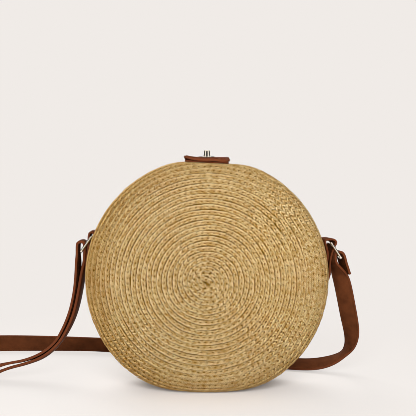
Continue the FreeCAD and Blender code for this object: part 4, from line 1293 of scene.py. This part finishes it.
class BAG_OT_linings(bpy.types.Operator):
    """Cotton linings, the braid that covers their edges, and the sewn hinge"""

    bl_idname = "bag.linings"
    bl_label = "Linings"

    def execute(self, context):
        link = plait_link(context.scene.bag_straw.row_width)
        for side, word in HALVES:
            lining = self.add_lining(side, f"{word}_cotton_lining")
            facing = self.add_facing(side, f"{word}_facing_braid", link)
            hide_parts(f"{word}_lining")
            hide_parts(f"{word}_rim_facing")
            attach(lining, f"{word}_half")
            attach(facing, f"{word}_half")
        discard(link)
        self.add_hinge()
        return {"FINISHED"}

    def add_lining(self, side, name):
        """A cloth bowl inside a shell, slightly gathered towards its rim."""
        angle = full_turn(LINING_COLUMNS)
        levels = LINING_LEVEL_SHARES * (rim_distance() - LINING_SETBACK)
        rows = [(level, LINING_INSET) for level in levels]
        rows += [(level, LINING_INSET + LINING_CLOTH) for level in levels[::-1]]
        narrow, broad = LINING_GATHER_WAVES
        folds = (1 + np.sin(narrow * angle) * np.cos(broad * angle + side)) / 2
        loops = []
        for level, inset in rows:
            gather = LINING_GATHER * (level / levels[-1]) ** 2
            loops.append(inset_loop(side, level, angle, (inset + gather * folds)[:, None]))
        thread_step = 2 * math.pi * LINING_WEAVE_SHARE * BAG_RADIUS / LINING_COLUMNS
        weave = (thread_step, [level for level, inset in rows])
        return loft(name, loops, [made(lining_cotton)], weave=weave)

    def add_facing(self, side, name, link):
        """A row of braid sewn inside the rim over the lining's edge."""
        length = bpy.context.scene.bag_straw.plait_length
        ring, outward = ring_row(side, rim_distance() - FACING_SETBACK)
        lines = line_mesh(name, [(ring - FACING_INSET * outward, True)], -outward)
        return sew_row(lines, link, length, made(plaited_straw), FACING_TURN, seed=FACING_SEED + side)

    def add_hinge(self):
        """Loops of thread that join the two rims where the bag stands."""
        low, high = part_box("hinge_stitches")
        thread = (high.z - low.z) / 2 - HINGE_LOOP
        turns = full_turn(HINGE_LOOP_POINTS)
        loops = []
        for turn in turns:
            centre = np.array([math.cos(turn), 0, math.sin(turn)])
            loops.append([
                (HINGE_LOOP + thread * math.cos(side)) * centre + np.array([0, thread * math.sin(side), 0])
                for side in full_turn(THREAD_SIDES)
            ])
        link = loft("thread_loop", loops, [], ring=True, weave=(PLY_STEP, list(turns)))
        first = low.x + thread
        last = high.x - thread
        height = (low.z + high.z) / 2
        line = np.array([(first, 0, height), (last, 0, height)])
        lines = line_mesh("hinge_thread", [(line, False)], [(0, 0, 1)] * 2)
        sew_row(lines, link, (last - first) / (HINGE_COUNT - 1), made(hinge_thread))
        discard(link)
        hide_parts("hinge_stitches")
        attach(lines, "back_half")


class BAG_OT_closure(bpy.types.Operator):
    """Leather closure tab, its sewn root and the patch under the lock"""

    bl_idname = "bag.closure"
    bl_label = "Closure"

    def execute(self, context):
        self.add_tab()
        self.add_patch()
        return {"FINISHED"}

    def add_tab(self):
        """The tab and its root in one strip of leather that bends along the fold."""
        tab_low, tab_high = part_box("closure_tab")
        root_low, root_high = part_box("tab_root")
        thickness = tab_high.z - tab_low.z
        fold_y = (tab_high.y + root_low.y) / 2
        flap = (tab_low.z + tab_high.z) / 2
        seat = root_low.z + thickness / 2

        def shaped(x, y, level):
            """Level over the lock, sewn down behind, with a drooping front and lifted left end."""
            sunk = np.clip((y - fold_y - ROOT_BEND_START) / ROOT_BEND, 0, 1)
            sunk = sunk * sunk * (3 - 2 * sunk)
            free = np.clip((fold_y - y) / (fold_y - tab_low.y), 0, 1)
            droop = TAB_DROOP * np.clip((TAB_DROOP_START - y) / (TAB_DROOP_START - tab_low.y), 0, 1) ** 2
            aside = np.clip(np.abs(x) / tab_high.x - TAB_LEVEL_SHARE, 0, 1) / (1 - TAB_LEVEL_SHARE)
            lift = np.where(x < 0, TAB_LIFT_LEFT, -TAB_SAG_RIGHT) * aside * free
            height = flap * (1 - sunk) + seat * sunk - droop + lift + level
            return np.stack([x, y, height], axis=1)

        def outline(inset):
            """The strip's edge, rounder at the tab's front than at the root."""
            return rounded_outline(tab_low.xy, (tab_high.x, root_high.y), TAB_CORNER, ROOT_CORNER, inset)

        slot = rounded_outline(*TAB_SLOT, SLOT_CORNER, SLOT_CORNER)
        tab, seam = sewn_sheet("closure_tab", slot, outline, thickness, shaped)
        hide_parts("closure_tab", "tab_root")
        for piece in (tab, seam):
            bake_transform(piece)

    def add_patch(self):
        """The leather patch that carries the lock on the front shell."""
        low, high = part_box("lock_patch")
        middle = (low.z + high.z) / 2
        lock_y = sum(corner.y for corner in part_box("lock_knob")) / 2

        def shaped(x, y, level):
            """Leaning as the bag's top does."""
            return np.stack([x, y, middle - TOP_LEAN * x + level], axis=1)

        def outline(inset):
            """The patch's edge."""
            return rounded_outline(low.xy, high.xy, PATCH_CORNER, PATCH_CORNER, inset)

        reach = PATCH_HOLE
        hole = rounded_outline((-reach, lock_y - reach), (reach, lock_y + reach), reach, reach)
        patch, seam = sewn_sheet("lock_patch", hole, outline, high.z - low.z, shaped)
        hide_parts("lock_patch")
        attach(patch, "front_half")
        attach(seam, "front_half")


class BAG_OT_side_tabs(bpy.types.Operator):
    """Leather loops on the side wall that hold the rings"""

    bl_idname = "bag.side_tabs"
    bl_label = "Side tabs"

    def execute(self, context):
        for word, route, side in (("right", RIGHT_TAB, 1), ("left", LEFT_TAB, -1)):
            low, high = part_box(f"side_tab_{word}")
            self.add_tab(word, route, side, high.y - low.y)
        return {"FINISHED"}

    def add_tab(self, word, route, side, width):
        """One folded strip, open at the bottom where its ends are sewn to the wall."""
        places = [((side * x, STRAP_Y, z), self.width_direction(side, z)) for x, z in route]
        piece, middle = band(f"leather_side_tab_{word}", places, width, SIDE_LEATHER, flesh_up=side < 0)
        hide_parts(f"side_tab_{word}")
        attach(piece, "back_half")
        end = middle[-len(middle) // SEAM_PART:-SEAM_END] + np.array([side * SIDE_LEATHER / 2, 0, 0])
        lines = []
        for edge in (-1, 1):
            line = end.copy()
            line[:, 1] = STRAP_Y + edge * (width / 2 - STITCH_INSET)
            lines.append((line, False))
        seam = sew_leather(f"side_tab_stitches_{word}", lines, [(side, 0, 0)] * (2 * len(end)))
        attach(seam, "back_half")

    def width_direction(self, side, height):
        """Level across the wall where the tab is sewn; the right tab is skewed towards its top."""
        share = min(max((height - SKEW_LOW) / (SKEW_HIGH - SKEW_LOW), 0), 1) if side > 0 else 0
        return tuple(Vector(WIDE_Y).lerp(Vector(WIDE_SKEWED), share))


class BAG_OT_metal(bpy.types.Operator):
    """Plating on the rings, the slide and the turn lock"""

    bl_idname = "bag.metal"
    bl_label = "Metal"

    def execute(self, context):
        plating = made(nickel_plating)
        for name in (
            "ring_left", "ring_right", "strap_slide", "lock_base", "lock_washer", "lock_knob",
            "knob_retainer", "eyelet_plate", "eyelet_backplate",
        ):
            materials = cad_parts[name].data.materials
            materials.clear()
            materials.append(plating)
        return {"FINISHED"}


class BAG_PT_panel(bpy.types.Panel):
    """Lists the bag's settings and the operators that build it"""

    bl_label = "Circle bag"
    bl_idname = "BAG_PT_panel"
    bl_space_type = "VIEW_3D"
    bl_region_type = "UI"
    bl_category = "Circle bag"

    def draw(self, context):
        """Show each group of settings, then a button for each operator."""
        for name in SETTINGS:
            box = self.layout.box()
            settings = getattr(context.scene, name)
            for key in settings.__annotations__:
                box.prop(settings, key)
        for operator in OPERATORS:
            self.layout.operator(operator.bl_idname)


SETTINGS = {
    "bag_straw": StrawSettings,
    "bag_leather": LeatherSettings,
    "bag_metal": MetalSettings,
    "bag_cloth": ClothSettings,
    "bag_stage": StageSettings,
}
OPERATORS = (
    BAG_OT_stage, BAG_OT_strap, BAG_OT_straw_shells, BAG_OT_linings, BAG_OT_closure, BAG_OT_side_tabs,
    BAG_OT_metal,
)


def register():
    """Add the settings, operators and panel to Blender."""
    for name, settings in SETTINGS.items():
        bpy.utils.register_class(settings)
        setattr(bpy.types.Scene, name, PointerProperty(type=settings))
    for operator in OPERATORS:
        bpy.utils.register_class(operator)
    bpy.utils.register_class(BAG_PT_panel)


def unregister():
    """Take the panel, operators and settings out of Blender."""
    bpy.utils.unregister_class(BAG_PT_panel)
    for operator in reversed(OPERATORS):
        bpy.utils.unregister_class(operator)
    for name, settings in SETTINGS.items():
        delattr(bpy.types.Scene, name)
        bpy.utils.unregister_class(settings)


def main():
    register()
    bpy.ops.bag.stage()
    bpy.ops.bag.strap()
    bpy.ops.bag.straw_shells()
    bpy.ops.bag.linings()
    bpy.ops.bag.closure()
    bpy.ops.bag.side_tabs()
    bpy.ops.bag.metal()


if __name__ == "__main__":
    main()
